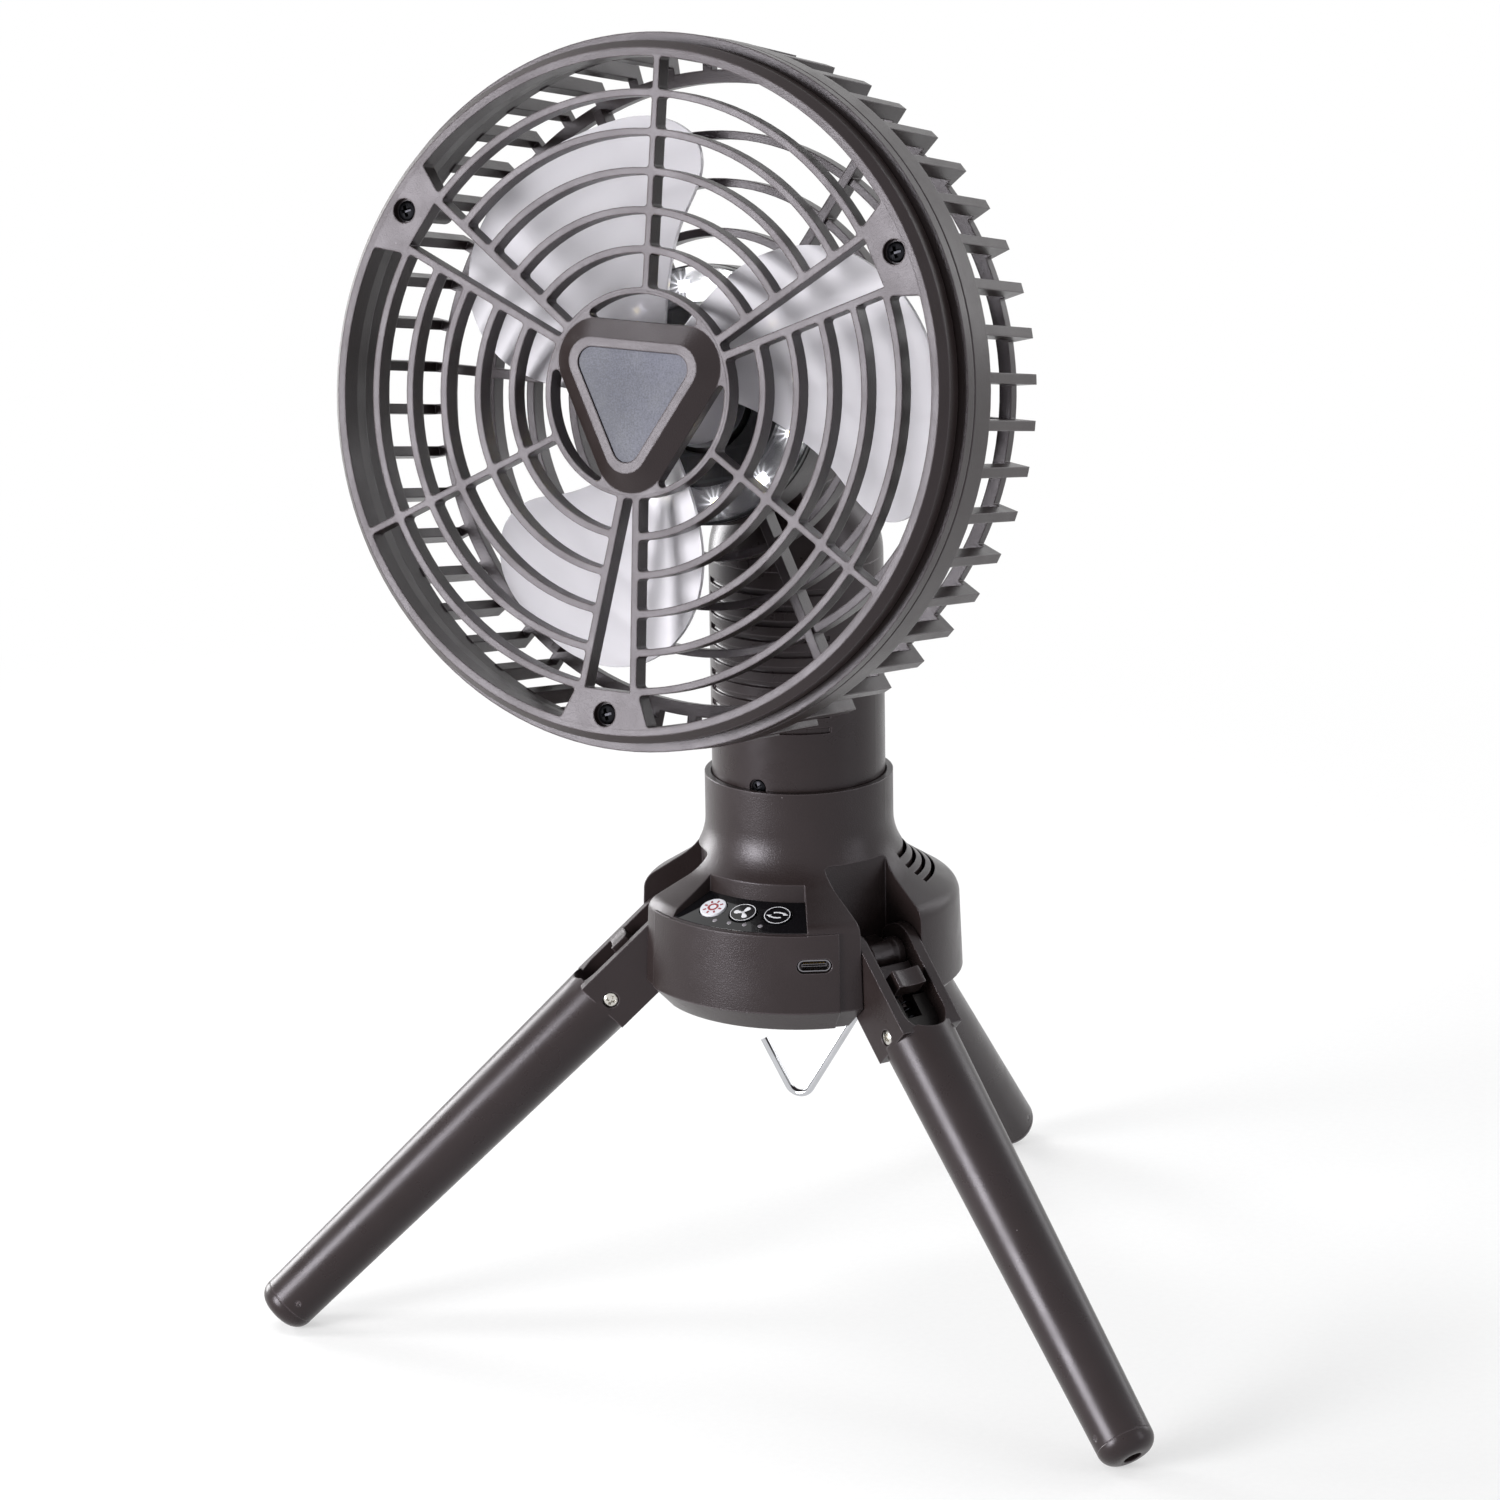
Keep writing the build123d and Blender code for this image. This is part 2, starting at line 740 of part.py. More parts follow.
def leg_latch():
    start = barrel_radius + slide_gap
    half = cheek_inner - slide_gap
    low = channel_floor + slide_gap
    body = block(start, start + latch_length, -half, half, low, low + latch_height)
    thumb = block(thumb_start, thumb_start + thumb_length, -thumb_half_width, thumb_half_width,
                  core_top + slide_gap, thumb_top)
    post = block(thumb_start, start + latch_length, -thumb_half_width, thumb_half_width, low, thumb_top)
    dish_at = Pos(thumb_start + thumb_length / 2, 0, thumb_top + thumb_dish_radius - thumb_dish_depth)
    thumb_dish = dish_at * lying(disc(thumb_dish_radius, -far, far))
    return body + post + thumb - thumb_dish + lying(disc(spring_stem, start + latch_length, core_start + stem_reach))


def latch_spring():
    low = barrel_radius + slide_gap + latch_length + spring_wire
    high = plug_end - spring_seat - spring_wire
    coil = Helix(pitch=(high - low) / spring_turns, height=high - low, radius=spring_radius)
    start = Plane(origin=coil @ 0, z_dir=coil % 0)
    return lying(Pos(0, 0, low) * sweep(start * Circle(spring_wire), path=coil, is_frenet=True))


def foot_pin(grow):
    place = Pos(seam - foot_plug_length / 3, 0, 0)
    return place * crosswise(disc(foot_pin_radius + grow, -leg_foot_radius, leg_foot_radius))


def leg_foot():
    outer = leg_foot_radius
    bore = leg_foot_radius - leg_wall - seat_gap
    foot = lying(spun([(0, seam - foot_plug_length), (bore, seam - foot_plug_length), (bore, seam), (outer, seam),
                       (outer, leg_length, foot_round), (0, leg_length)]))
    foot -= lying(disc(foot_hole_radius, leg_length - foot_hole_depth, leg_length + 1))
    return foot - foot_pin(shaft_gap)


def leg_screws():
    head = disc(screw_head_radius, cheek_half_width - screw_head_height / 2, cheek_half_width + 0.3)
    shank = disc(screw_radius - shaft_gap, spring_bore + 0.8, cheek_half_width)
    screws = [Pos(cheek_screw_at, 0, 0) * Rot(-90 * side, 0, 0) * (head + shank) for side in (-1, 1)]
    return screws + [foot_pin(0)]


# ---- column

def column_tube():
    tube = spun([(0, 0), (column_radius, 0, 0.8), (column_radius, column_height), (0, column_height)])
    tube -= disc(column_radius - column_wall, column_floor, column_height + 1)
    tube += ring(spigot_bore, spigot_radius, retainer_low() + retainer_thickness, 0.5)
    tube -= disc(wire_hole, -1, column_floor + 1)
    for index in range(grip_count):
        middle = grip_first + index * grip_pitch
        tube -= spun([(column_radius - grip_depth, middle - grip_width / 2, 0.5),
                      (column_radius + 1, middle - grip_width / 2),
                      (column_radius + 1, middle + grip_width / 2),
                      (column_radius - grip_depth, middle + grip_width / 2, 0.5)],
                     front - grip_half_sweep, 2 * grip_half_sweep)
    tube -= column_screw_place() * disc(column_screw_dimple, -column_screw_sunk, 2)
    tube -= column_screw_place() * disc(screw_radius, -column_screw_length, 2)
    tube -= retainer_screw_places(disc(screw_radius, retainer_low(), column_floor + 1))
    return tube


def column_screw_place():
    # z points out of the column's front
    return Pos(0, -column_radius, column_screw_height) * Rot(90, 0, 0)


def column_screw():
    head = disc(screw_head_radius, -column_screw_sunk, 0)
    return column_screw_place() * (head + disc(screw_radius - shaft_gap, 1 - column_screw_length, -column_screw_sunk))


def retainer_low():
    return -(washer_thickness + ledge_thickness + retainer_gap + retainer_thickness)


def retainer_screw_places(shape):
    return [Rot(0, 0, 120 * index + 90) * Pos(retainer_screw_ring, 0, 0) * shape for index in range(3)]


def swivel_retainer():
    low = retainer_low()
    retainer = disc(retainer_radius, low, low + retainer_thickness) - disc(swing_shaft_radius, low - 1, 0)
    return retainer - retainer_screw_places(disc(screw_radius, low - 1, 0))


def retainer_screws():
    low = retainer_low()
    screw = disc(screw_head_radius, low - screw_head_height, low)
    return retainer_screw_places(screw + disc(screw_radius - shaft_gap, low, column_floor))


def cell_places(shape):
    reach = (cell_radius + cell_gap / 2) / cos(radians(30))
    return [Rot(0, 0, 120 * index + 30) * Pos(reach, 0, 0) * shape for index in range(3)]


def battery_cells():
    low = column_floor + frame_plate
    return cell_places(disc(cell_radius, low, low + cell_length))


def battery_frame():
    # end plates on a three-sided spine between the cells, with a boss for the column's screw
    low = column_floor
    high = low + frame_plate + cell_length
    spine_radius = cell_radius * (2 / sqrt(3) - 1) - cell_gap
    frame = disc(frame_radius, low, low + frame_plate)
    frame -= block(-frame_slot_half, frame_slot_half, frame_slot_start, frame_slot_end, 0, low + frame_plate + 1)
    frame += disc(frame_radius - 2, high, high + frame_plate)
    frame += disc(spine_radius, low, high)
    boss_inner = column_radius - column_wall - frame_boss_depth
    boss = block(-frame_boss_half, frame_boss_half, -column_radius + column_wall + 2 * seat_gap, -boss_inner, low,
                 column_screw_height + frame_boss_half)
    frame += boss - cell_places(disc(cell_radius + cell_gap, 0, far))
    return frame - column_screw_place() * disc(screw_radius, -column_screw_length, 2)


def hull_plate(circles, half_width):
    # a plate in the YZ plane round a set of circles given as (y, z, radius)
    edges = [Pos(y, z) * Edge.make_circle(radius) for y, z, radius in circles]
    return extrude(Plane.YZ * make_hull(edges), half_width, both=True)


def column_head():
    dome = Pos(0, 0, column_height) * (Sphere(column_radius) & disc(column_radius + 1, 0, column_radius + 1))
    inside = Pos(0, 0, column_height) * Sphere(column_radius - column_wall)
    head = dome - inside
    plug_outer = column_radius - column_wall - seat_gap
    head += ring(plug_outer - plug_wall, plug_outer, column_height - plug_depth, column_height + 5)
    corner = neck_root_round
    head += hull_plate([(-pivot_forward, pivot_height, neck_radius),
                        (-neck_root_front + corner, neck_root_height + corner, corner),
                        (neck_root_back - corner, neck_root_height + corner, corner)], neck_half_width)
    bore = Pos(0, -pivot_forward, pivot_height) * lying(disc(tilt_bolt_radius + shaft_gap, -far, far))
    return head - bore


def tilt_washers():
    washer = ring(tilt_bolt_radius + shaft_gap, neck_radius - 1.5, neck_half_width, neck_half_width + tilt_washer)
    place = Pos(0, -pivot_forward, pivot_height)
    return [place * lying(washer), place * Rot(0, -90, 0) * washer]


# ---- head; z points out of the front face, y up, so depths are negative z

def dish(radius):
    # depth of the grille's front face
    return dish_depth * (ring_inner - radius) / (ring_inner - hub_ring_outer)


def polar(radius, angle):
    # angle clockwise from the top as seen from the front
    return (radius * sin(radians(angle)), radius * cos(radians(angle)))


def tapered(inner, outer, inner_half, outer_half):
    # outline of a bar along +Y between two radii
    return make_face(Polyline((-inner_half, inner), (inner_half, inner), (outer_half, outer), (-outer_half, outer),
                              close=True))


def screw_pad():
    outer = ring_flat
    return make_face(Polyline(polar(pad_radius, -pad_inner_sweep), polar(pad_radius, pad_inner_sweep),
                              polar(outer, pad_outer_sweep), polar(outer, -pad_outer_sweep), close=True))


def grille_openings():
    # the cells between rings and spokes, and the clear wedge inside each V
    half = bar_width / 2
    solid = around(tapered(0, ring_outer, thin_spoke_width / 2, thin_spoke_width / 2), thin_spokes)
    solid += around(tapered(hub_ring_outer - 1, pad_radius, v_root + half, v_end + half), v_spokes)
    solid += around(screw_pad(), v_spokes)
    edges = [hub_ring_outer]
    for radius in bar_rings:
        edges += [radius - half, radius + half]
    edges.append(ring_inner)
    cells = [Circle(outer) - Circle(inner) - solid for inner, outer in zip(edges[0::2], edges[1::2])]
    cells += around(tapered(hub_ring_outer, pad_radius, v_root - half, v_end - half), v_spokes)
    return [fillet(cell.vertices(), opening_round) for cell in cells]


def hub_crescents():
    # clear segments between the hub's ring and the flat sides of its triangle
    side = emblem_spread * cos(radians(60)) + emblem_round
    crescent = Circle(hub_ring_outer - hub_ring_wall) - Pos(0, side - far / 2) * Rectangle(far, far)
    return around(fillet(crescent.vertices(), crescent_round), thin_spokes)


def dished_grid():
    # the bars: a shallow dish of even thickness with rounded openings
    hole = hub_ring_outer - hub_ring_wall
    rim = ring_inner + 0.5
    bars = spun([(hole, -dish(hole)), (rim, -dish(rim)), (rim, -dish(rim) - bar_depth),
                 (hole, -dish(hole) - bar_depth)], 90)
    return bars - [Pos(0, 0, -far / 2) * extrude(cells, far) for cells in grille_openings()]


def rounded_triangle(spread, rounding):
    edges = [Pos(*polar(spread, angle)) * Edge.make_circle(rounding) for angle in v_spokes]
    return make_hull(edges)


def front_grille():
    grille = spun([(ring_inner, 0), (ring_flat, 0), (ring_outer, -ring_chamfer), (ring_outer, -ring_skirt),
                   (spigot_outer, -ring_skirt), (spigot_outer, -ring_spigot), (spigot_inner, -ring_spigot),
                   (ring_inner, -ring_skirt + 1)])
    pads = around(Pos(0, 0, -pad_thickness) * extrude(screw_pad(), pad_thickness - dish(pad_radius)), v_spokes)
    triangle = rounded_triangle(emblem_spread, emblem_round)
    plate = Circle(hub_ring_outer - hub_ring_wall / 2) - hub_crescents()
    hub = Pos(0, 0, -dish_depth - hub_plate) * extrude(plate, hub_plate)
    hub += loft([Pos(0, 0, -dish_depth) * triangle, rounded_triangle(emblem_lip_spread, emblem_lip_round)])
    grille += [dished_grid(), hub] + pads
    recess = rounded_triangle(plate_spread, plate_round + seat_gap)
    grille -= Pos(0, 0, -plate_sunk - plate_thickness) * extrude(recess, 9)
    bore = disc(grille_screw_bore, -grille_screw_depth, 1) + disc(screw_radius, -20, 1)
    return grille - around(Pos(0, grille_screw_ring, 0) * bore, v_spokes)


def emblem_plate():
    plate = extrude(rounded_triangle(plate_spread, plate_round), plate_thickness)
    return Pos(0, 0, -plate_sunk - plate_thickness) * plate


def grille_screws():
    screw = disc(grille_screw_head, -grille_screw_depth, -grille_screw_depth + 1.5)
    screw += disc(screw_radius - shaft_gap, -grille_screw_depth - grille_screw_length, -grille_screw_depth)
    return around(Pos(0, grille_screw_ring, 0) * screw, v_spokes)


def rib():
    points = [(rib_inner, -band_back + 1), (band_outer - 0.03, -band_back + 1), (rib_end_radius, -head_depth),
              (rear_ring_inner + 1, -head_depth), (rear_ring_inner + 1, -head_depth + rear_ring_depth),
              (rib_inner - 0.6, -head_depth + rear_ring_depth)]
    return side_plate(points, rib_thickness / 2)


def rear_grille():
    grille = spun([(band_inner, -band_front), (band_outer, -band_front),
                   (band_outer, -parting_at + parting_groove), (band_outer - parting_groove, -parting_at),
                   (band_outer, -parting_at - parting_groove), (band_outer, -band_back),
                   (band_ledge, -band_back), (band_ledge, -ring_spigot - seat_gap), (band_inner, -ring_spigot - seat_gap)])
    back = rear_spoke_front + bar_depth + 1
    pieces = [ring(rear_ring_inner, rear_ring_outer, -head_depth, -head_depth + rear_ring_depth)]
    pieces += around(rib(), [index * 360 / rib_count for index in range(rib_count)])
    for radius in rear_rings:
        half = rear_ring_width / 2
        pieces.append(ring(radius - half, radius + half, -back, -rear_spoke_front - 1))
    arm = block(-rear_spoke_width / 2, rear_spoke_width / 2, cup_radius - 1, rear_ring_inner + 1, -back, -rear_spoke_front)
    pieces += around(arm, rear_spokes)
    pieces.append(disc(cup_radius, -head_depth, -cup_back))
    pieces.append(ring(cup_radius - cup_wall, cup_radius, -cup_back, -cup_front))
    post = Pos(0, grille_screw_ring, 0) * disc(boss_radius, -band_back, -pad_thickness)
    web = block(-1, 1, grille_screw_ring, band_inner, -band_back, -ring_spigot - 1)
    pieces += around(post + web, v_spokes)
    grille += pieces
    cover_holes = [Rot(0, 0, angle) * Pos(cover_screw_ring, 0, 0) * disc(screw_radius, -far, 0) for angle in cover_screws]
    grille -= cover_holes
    return grille - around(Pos(0, grille_screw_ring, 0) * disc(screw_radius, -15, 0), v_spokes)


def blade_depth(angle):
    return rotor_centre + rotor_twist * (angle - blade_middle)


def blade_outline():
    # radius and angle of points round the blade, from the root's leading edge to its trailing edge
    root = [(rotor_hub_radius - 1, angle) for angle in blade_root_sweep]
    tip = [(blade_tip, angle) for angle in blade_tip_sweep]
    outline = [root[0], *blade_leading, *tip, *blade_trailing, root[1]]
    edge = Spline(*[polar(radius, angle) for radius, angle in outline])
    return make_face([edge, Line(edge @ 1, edge @ 0)])


def rotor_blade():
    # a twisted slab, cut to the blade's outline as seen from the front
    sections = []
    inner = rotor_hub_radius - 2 * rotor_hub_wall
    length = blade_tip + 3 - inner
    start, end = blade_sweep
    for index in range(blade_sections):
        angle = start + (end - start) * index / (blade_sections - 1)
        plane = Plane(origin=(0, 0, -blade_depth(angle)), x_dir=(*polar(1, angle), 0), z_dir=(*polar(1, angle - 90), 0))
        sections.append(plane * Pos(inner + length / 2, 0) * Rectangle(length, blade_thickness))
    slab = loft(sections)
    return slab & Pos(0, 0, -far) * extrude(blade_outline(), far)


def fan_rotor():
    hub = disc(rotor_hub_radius, -rotor_hub_back, -rotor_hub_front)
    hub -= disc(rotor_hub_radius - rotor_hub_wall, -rotor_hub_back - 1, -rotor_hub_front - rotor_hub_wall)
    hub += disc(rotor_boss, -rotor_hub_back + 2, -rotor_hub_front)
    blade = rotor_blade() - disc(rotor_hub_radius - rotor_hub_wall / 2, -far, 0)
    hub += around(blade, (0, 120, 240))
    return hub - disc(rotor_shaft_radius + shaft_gap / 2, -far, -rotor_shaft_front)


def rotor_shaft():
    return disc(rotor_shaft_radius, -rotor_shaft_back, -rotor_shaft_front)


def fan_motor():
    motor = disc(fan_motor_radius, -cup_back, -fan_motor_front)
    return motor - disc(rotor_shaft_radius + shaft_gap, -rotor_shaft_back - slide_gap, 0)


def led_board():
    return ring(led_board_inner, cup_radius - 0.2, -cup_front, -led_board_front)


def leds():
    half = led_width / 2
    chip = block(-half, half, led_ring - half, led_ring + half, -led_board_front, -led_board_front + led_height)
    return around(chip, [index * 360 / led_count + 15 for index in range(led_count)])


def led_lens():
    lens = ring(lens_inner, lens_outer, -led_board_front, -lens_front)
    return lens - ring(lens_inner + lens_thickness, lens_outer - lens_thickness, -led_board_front - 1,
                       -lens_front - lens_thickness)


def motor_cover():
    # rear cap of the motor, carrying the two cheeks of the tilt bracket
    cover = disc(cover_flange, -head_depth - cover_flange_thickness, -head_depth)
    cover += spun([(0, -head_depth), (cover_radius, -head_depth), (cover_radius, -head_depth - cover_depth, 3),
                   (0, -head_depth - cover_depth)])
    cover -= disc(cover_radius - cover_wall, -head_depth - cover_depth + cover_wall, -head_depth + 1)
    inner = neck_half_width + tilt_washer
    outer = inner + bracket_thickness
    root = -head_depth - bracket_root_round
    cheek = hull_plate([(-pivot_below_axis, -pivot_depth, bracket_radius),
                        (bracket_root_top, root, bracket_root_round),
                        (-bracket_root_low, root, bracket_root_round)], outer)
    gap_plate = block(-inner, inner, -far, far, -far, -head_depth - cover_depth)
    hollow = disc(cover_radius - cover_wall, -head_depth - cover_depth + cover_wall, -head_depth + 1)
    cover += cheek - gap_plate - hollow
    cover -= Pos(0, -pivot_below_axis, -pivot_depth) * lying(disc(tilt_bolt_radius + shaft_gap, -far, far))
    holes = [Rot(0, 0, angle) * Pos(cover_screw_ring, 0, 0) * disc(screw_radius, -far, 0) for angle in cover_screws]
    return cover - holes


def cover_screw_set():
    low = -head_depth - cover_flange_thickness
    screw = disc(screw_head_radius, low - screw_head_height, low)
    screw += disc(screw_radius - shaft_gap, low, low + cover_flange_thickness + cup_floor)
    return [Rot(0, 0, angle) * Pos(cover_screw_ring, 0, 0) * screw for angle in cover_screws]


def tilt_bolt():
    outer = neck_half_width + tilt_washer + bracket_thickness
    bolt = disc(tilt_bolt_radius, -outer - tilt_head_height, outer) + disc(tilt_head_radius, outer, outer + tilt_head_height)
    nut = extrude(RegularPolygon(tilt_head_radius, 6), tilt_head_height) - disc(tilt_bolt_radius + shaft_gap / 2, -1, 9)
    place = Pos(0, -pivot_below_axis, -pivot_depth)
    return [place * lying(bolt), place * lying(Pos(0, 0, -outer - tilt_head_height) * nut)]


def save(name, place, shape):
    pieces = shape if isinstance(shape, list) else [shape]
    solids = [place * solid for piece in pieces for solid in piece.solids()]
    export_step(solids[0] if len(solids) == 1 else Compound(children=solids), f"parts/{name}.step")


os.makedirs("parts", exist_ok=True)

base_pieces = {
    "base_shell": base_shell(),
    "base_bottom": base_bottom(),
    "base_screws": base_screws(),
    "swivel_washer": swivel_washer(),
    "control_panel": control_panel(),
    "indicator_lenses": indicator_lenses(),
    "button_board": button_board(),
    "tact_switches": tact_switches(),
    "main_board": main_board(),
    "usb_port": usb_port(),
    "charge_board": charge_board(),
    "swing_motor": swing_motor(),
    "leg_barrels": at_hinges(leg_barrel()),
    "leg_pins": at_hinges(crosswise(disc(pin_radius, -pin_half_length, pin_half_length))),
    "hanging_hook": hook(),
}
for name, azimuth in zip(button_names, button_azimuths()):
    base_pieces[f"{name}_button"] = button(azimuth)
for name, piece in base_pieces.items():
    save(name, on_base, piece)

leg_pieces = {
    "tube": leg_tube(),
    "core": leg_core(),
    "latch": leg_latch(),
    "latch_spring": latch_spring(),
    "foot": leg_foot(),
    "screws": leg_screws(),
}
for side, azimuth in leg_azimuths.items():
    for name, piece in leg_pieces.items():
        save(f"{side}_leg_{name}", on_leg(azimuth), piece)

column_pieces = {
    "column_tube": column_tube(),
    "column_head": column_head(),
    "tilt_washers": tilt_washers(),
    "battery_cells": battery_cells(),
    "battery_frame": battery_frame(),
    "column_screw": column_screw(),
    "swivel_retainer": swivel_retainer(),
    "retainer_screws": retainer_screws(),
    "swing_shaft": swing_shaft(),
}
for name, piece in column_pieces.items():
    save(name, on_column, piece)

head_pieces = {
    "front_grille": front_grille(),
    "emblem_plate": emblem_plate(),
    "grille_screws": grille_screws(),
    "rear_grille": rear_grille(),
    "fan_rotor": fan_rotor(),
    "rotor_shaft": rotor_shaft(),
    "fan_motor": fan_motor(),
    "led_board": led_board(),
    "leds": leds(),
    "led_lens": led_lens(),
    "motor_cover": motor_cover(),
    "cover_screws": cover_screw_set(),
    "tilt_bolt": tilt_bolt(),
}
for name, piece in head_pieces.items():
    save(name, on_head, piece)
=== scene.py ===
import math

import bmesh
import bpy
from mathutils import Matrix, Vector


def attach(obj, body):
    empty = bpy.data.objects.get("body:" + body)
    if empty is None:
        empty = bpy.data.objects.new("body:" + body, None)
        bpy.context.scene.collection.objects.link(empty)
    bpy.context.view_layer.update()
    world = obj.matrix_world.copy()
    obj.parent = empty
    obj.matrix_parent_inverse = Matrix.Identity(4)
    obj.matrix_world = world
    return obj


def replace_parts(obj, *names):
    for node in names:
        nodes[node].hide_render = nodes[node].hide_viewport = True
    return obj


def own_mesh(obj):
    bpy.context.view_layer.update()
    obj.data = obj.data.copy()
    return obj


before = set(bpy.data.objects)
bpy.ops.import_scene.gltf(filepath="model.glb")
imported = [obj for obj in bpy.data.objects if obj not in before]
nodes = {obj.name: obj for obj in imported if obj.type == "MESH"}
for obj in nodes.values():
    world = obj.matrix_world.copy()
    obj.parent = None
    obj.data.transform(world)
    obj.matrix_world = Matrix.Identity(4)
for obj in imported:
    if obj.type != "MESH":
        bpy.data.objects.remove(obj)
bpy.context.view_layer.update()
mm = 0.001
print("frame loaded,", len(nodes), "nodes")

# ---- places on the object, in mm and degrees

sides = {"left": 210, "right": 330, "rear": 90}     # azimuth of each leg
places = {
    "head": (-4.507, -88.969, 281.952),             # middle of the front grille
    "headOut": (-0.04953, -0.97780, 0.20364),       # the way it blows
    "headRight": (0.99872, -0.05059, 0),
    "base": (0, 0, 95.356),
    "column": (0, 0, 146.456),
    "columnTurn": -2.9,
    "legHinge": (36.5, 0, 113.156),
    "legSlope": 43.96,
    "panelEdge": 43.5,                              # radius and height of the control panel's outer edge
    "panelHeight": 28.9,
    "panelSlope": 21.4,
}


def placed(*moves):
    # the moves in order: a turn is (axis, degrees), a shift is (x, y, z) in mm
    place = Matrix()
    for move in moves:
        if isinstance(move[0], str):
            place = place @ Matrix.Rotation(math.radians(move[1]), 4, move[0])
        else:
            place = place @ Matrix.Translation(Vector(move) * mm)
    return place


def axesTurn(right, up, out):
    # the turn that takes x, y and z to these three
    return Matrix((right, up, out)).transposed().to_4x4()


headOut, headRight = Vector(places["headOut"]), Vector(places["headRight"])
# z comes out of the grille, y is up
onHead = placed(places["head"]) @ axesTurn(headRight, headOut.cross(headRight), headOut)
onBase = placed(places["base"])
onColumn = placed(places["column"], ("Z", places["columnTurn"]))


def onLeg(side):
    # x runs down the leg from its hinge, z comes out of its upper side
    return placed(("Z", sides[side]), places["legHinge"], ("Y", places["legSlope"]))


def onPanel(radius, azimuth):
    # z comes out of the control panel, y points up it
    slope = places["panelSlope"]
    height = places["panelHeight"] + (places["panelEdge"] - radius) * math.tan(math.radians(slope))
    return onBase @ placed(("Z", azimuth), (radius, 0, height), ("Y", slope), ("Z", 90))


# ---- helpers for materials

mixFactor, mixFirst, mixSecond, mixResult = 0, 6, 7, 2      # sockets of a Mix node that mixes colours
noiseSpan = (0.35, 0.65)                                    # nearly all of a noise's values
bevelSamples = 6


def linear(hexColour):
    # an sRGB hex colour as linear light, opaque
    channels = [int(hexColour[i:i + 2], 16) / 255 for i in (1, 3, 5)]
    return [c / 12.92 if c <= 0.04045 else ((c + 0.055) / 1.055) ** 2.4 for c in channels] + [1.0]


def connect(node, *links):
    # each link is (socket, from node, output)
    for socket, source, output in links:
        node.id_data.links.new(source.outputs[output], node.inputs[socket])


def addNode(tree, kind, settings=None, links=(), values=None):
    # one shader node with its settings, socket values and links
    node = tree.nodes.new("ShaderNode" + kind)
    for field, value in (settings or {}).items():
        setattr(node, field, value)
    for socket, value in (values or {}).items():
        node.inputs[socket].default_value = value
    connect(node, *links)
    return node


def newMaterial(name, values):
    # also gives its tree, its surface and the place on the object in mm
    material = bpy.data.materials.new(name)
    material.use_nodes = True
    tree = material.node_tree
    tree.nodes.clear()
    surface = addNode(tree, "BsdfPrincipled", values=values)
    addNode(tree, "OutputMaterial", links=[("Surface", surface, "BSDF")])
    metres = addNode(tree, "TexCoord")
    where = addNode(tree, "VectorMath", {"operation": "SCALE"}, [("Vector", metres, "Object")],
                    {"Scale": 1 / mm})
    return material, tree, surface, where


def noise(tree, where, size, detail=2.0, roughness=0.5):
    # a cloudy pattern with its marks about size mm apart
    return addNode(tree, "TexNoise", links=[("Vector", where, "Vector")],
                   values={"Scale": 1 / size, "Detail": detail, "Roughness": roughness})


def spread(tree, source, output, given, wanted, **settings):
    # stretches the given span to the wanted one
    return addNode(tree, "MapRange", settings, [("Value", source, output)],
                   {"From Min": given[0], "From Max": given[1], "To Min": wanted[0], "To Max": wanted[1]})


def calculate(tree, operation, *inputs, **settings):
    # each input is a number or (from node, output)
    node = addNode(tree, "Math", {"operation": operation, **settings})
    for index, given in enumerate(inputs):
        if isinstance(given, tuple):
            connect(node, (index, *given))
        else:
            node.inputs[index].default_value = given
    return node


def mixColours(tree, share, output, first, second):
    # from the first, a hex colour or another mix, to the second, a hex colour
    node = addNode(tree, "Mix", {"data_type": "RGBA"}, [(mixFactor, share, output)],
                   {mixSecond: linear(second)})
    if isinstance(first, str):
        node.inputs[mixFirst].default_value = linear(first)
    else:
        connect(node, (mixFirst, first, mixResult))
    return node


# ---- helpers for meshes


def circle(radius, steps=48):
    turns = [math.tau * i / steps for i in range(steps)]
    return [(radius * math.cos(turn), radius * math.sin(turn)) for turn in turns]


def addPoints(work, place, points):
    # points are in mm, on the part that place stands for
    return [work.verts.new(place @ (Vector(point) * mm)) for point in points]


def addSkin(work, rows, ends=True):
    # faces between each row of points and the next, and over the two ends
    for first, second in zip(rows, rows[1:]):
        for i in range(len(first)):
            j = (i + 1) % len(first)
            work.faces.new((first[i], first[j], second[j], second[i]))
    if ends:
        work.faces.new(rows[0][::-1])
        work.faces.new(rows[-1])


def meshFrom(work, name):
    mesh = bpy.data.meshes.new(name)
    work.to_mesh(mesh)
    work.free()
    return mesh


def addPiece(name, mesh, material, body):
    piece = bpy.data.objects.new(name, mesh)
    bpy.context.scene.collection.objects.link(piece)
    mesh.materials.append(material)
    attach(piece, body)
    return piece


# ---- moulded plastics

# ABS, injection moulded in a spark-eroded tool: a fine even grain spreads its highlights softly
housingLooks = {
    "colour": "#211a19",
    "pale": "#272020",
    "flow": 40.0,              # mm, slow drift between the two
    "grain": 0.4,              # mm, coarser than the real 0.1 mm so that it shows
    "speckle": 0.8,            # how far the grain also shows as a paler and darker fleck
    "relief": 0.06,            # mm
    "gloss": (0.28, 0.36),     # roughness, drifting across a moulding
    "patch": 10.0,             # mm, size of that drift
    "edge": 0.55,              # mm, radius of a moulded edge
    "edgeHighlight": "#7b7276",         # painted highlight colour along its edges
    # how strongly that painted highlight shows
    "highlightShare": 0.35,
    "highlightTurn": (0.99, 0.8),   # cosine of the edge's turn where the painted highlight starts and where it is full
    "smootherEdges": 0.25,            # how much smoother the edges are made
    "dust": "#8d868a",
    "dustCell": 7.0,           # mm, no more than one speck in each
    "dustFree": 0.66,          # share of cells without a speck
    "speck": (0.098, 0.154),   # mm, from full dust out to none
    "speckShade": 0.8,
}
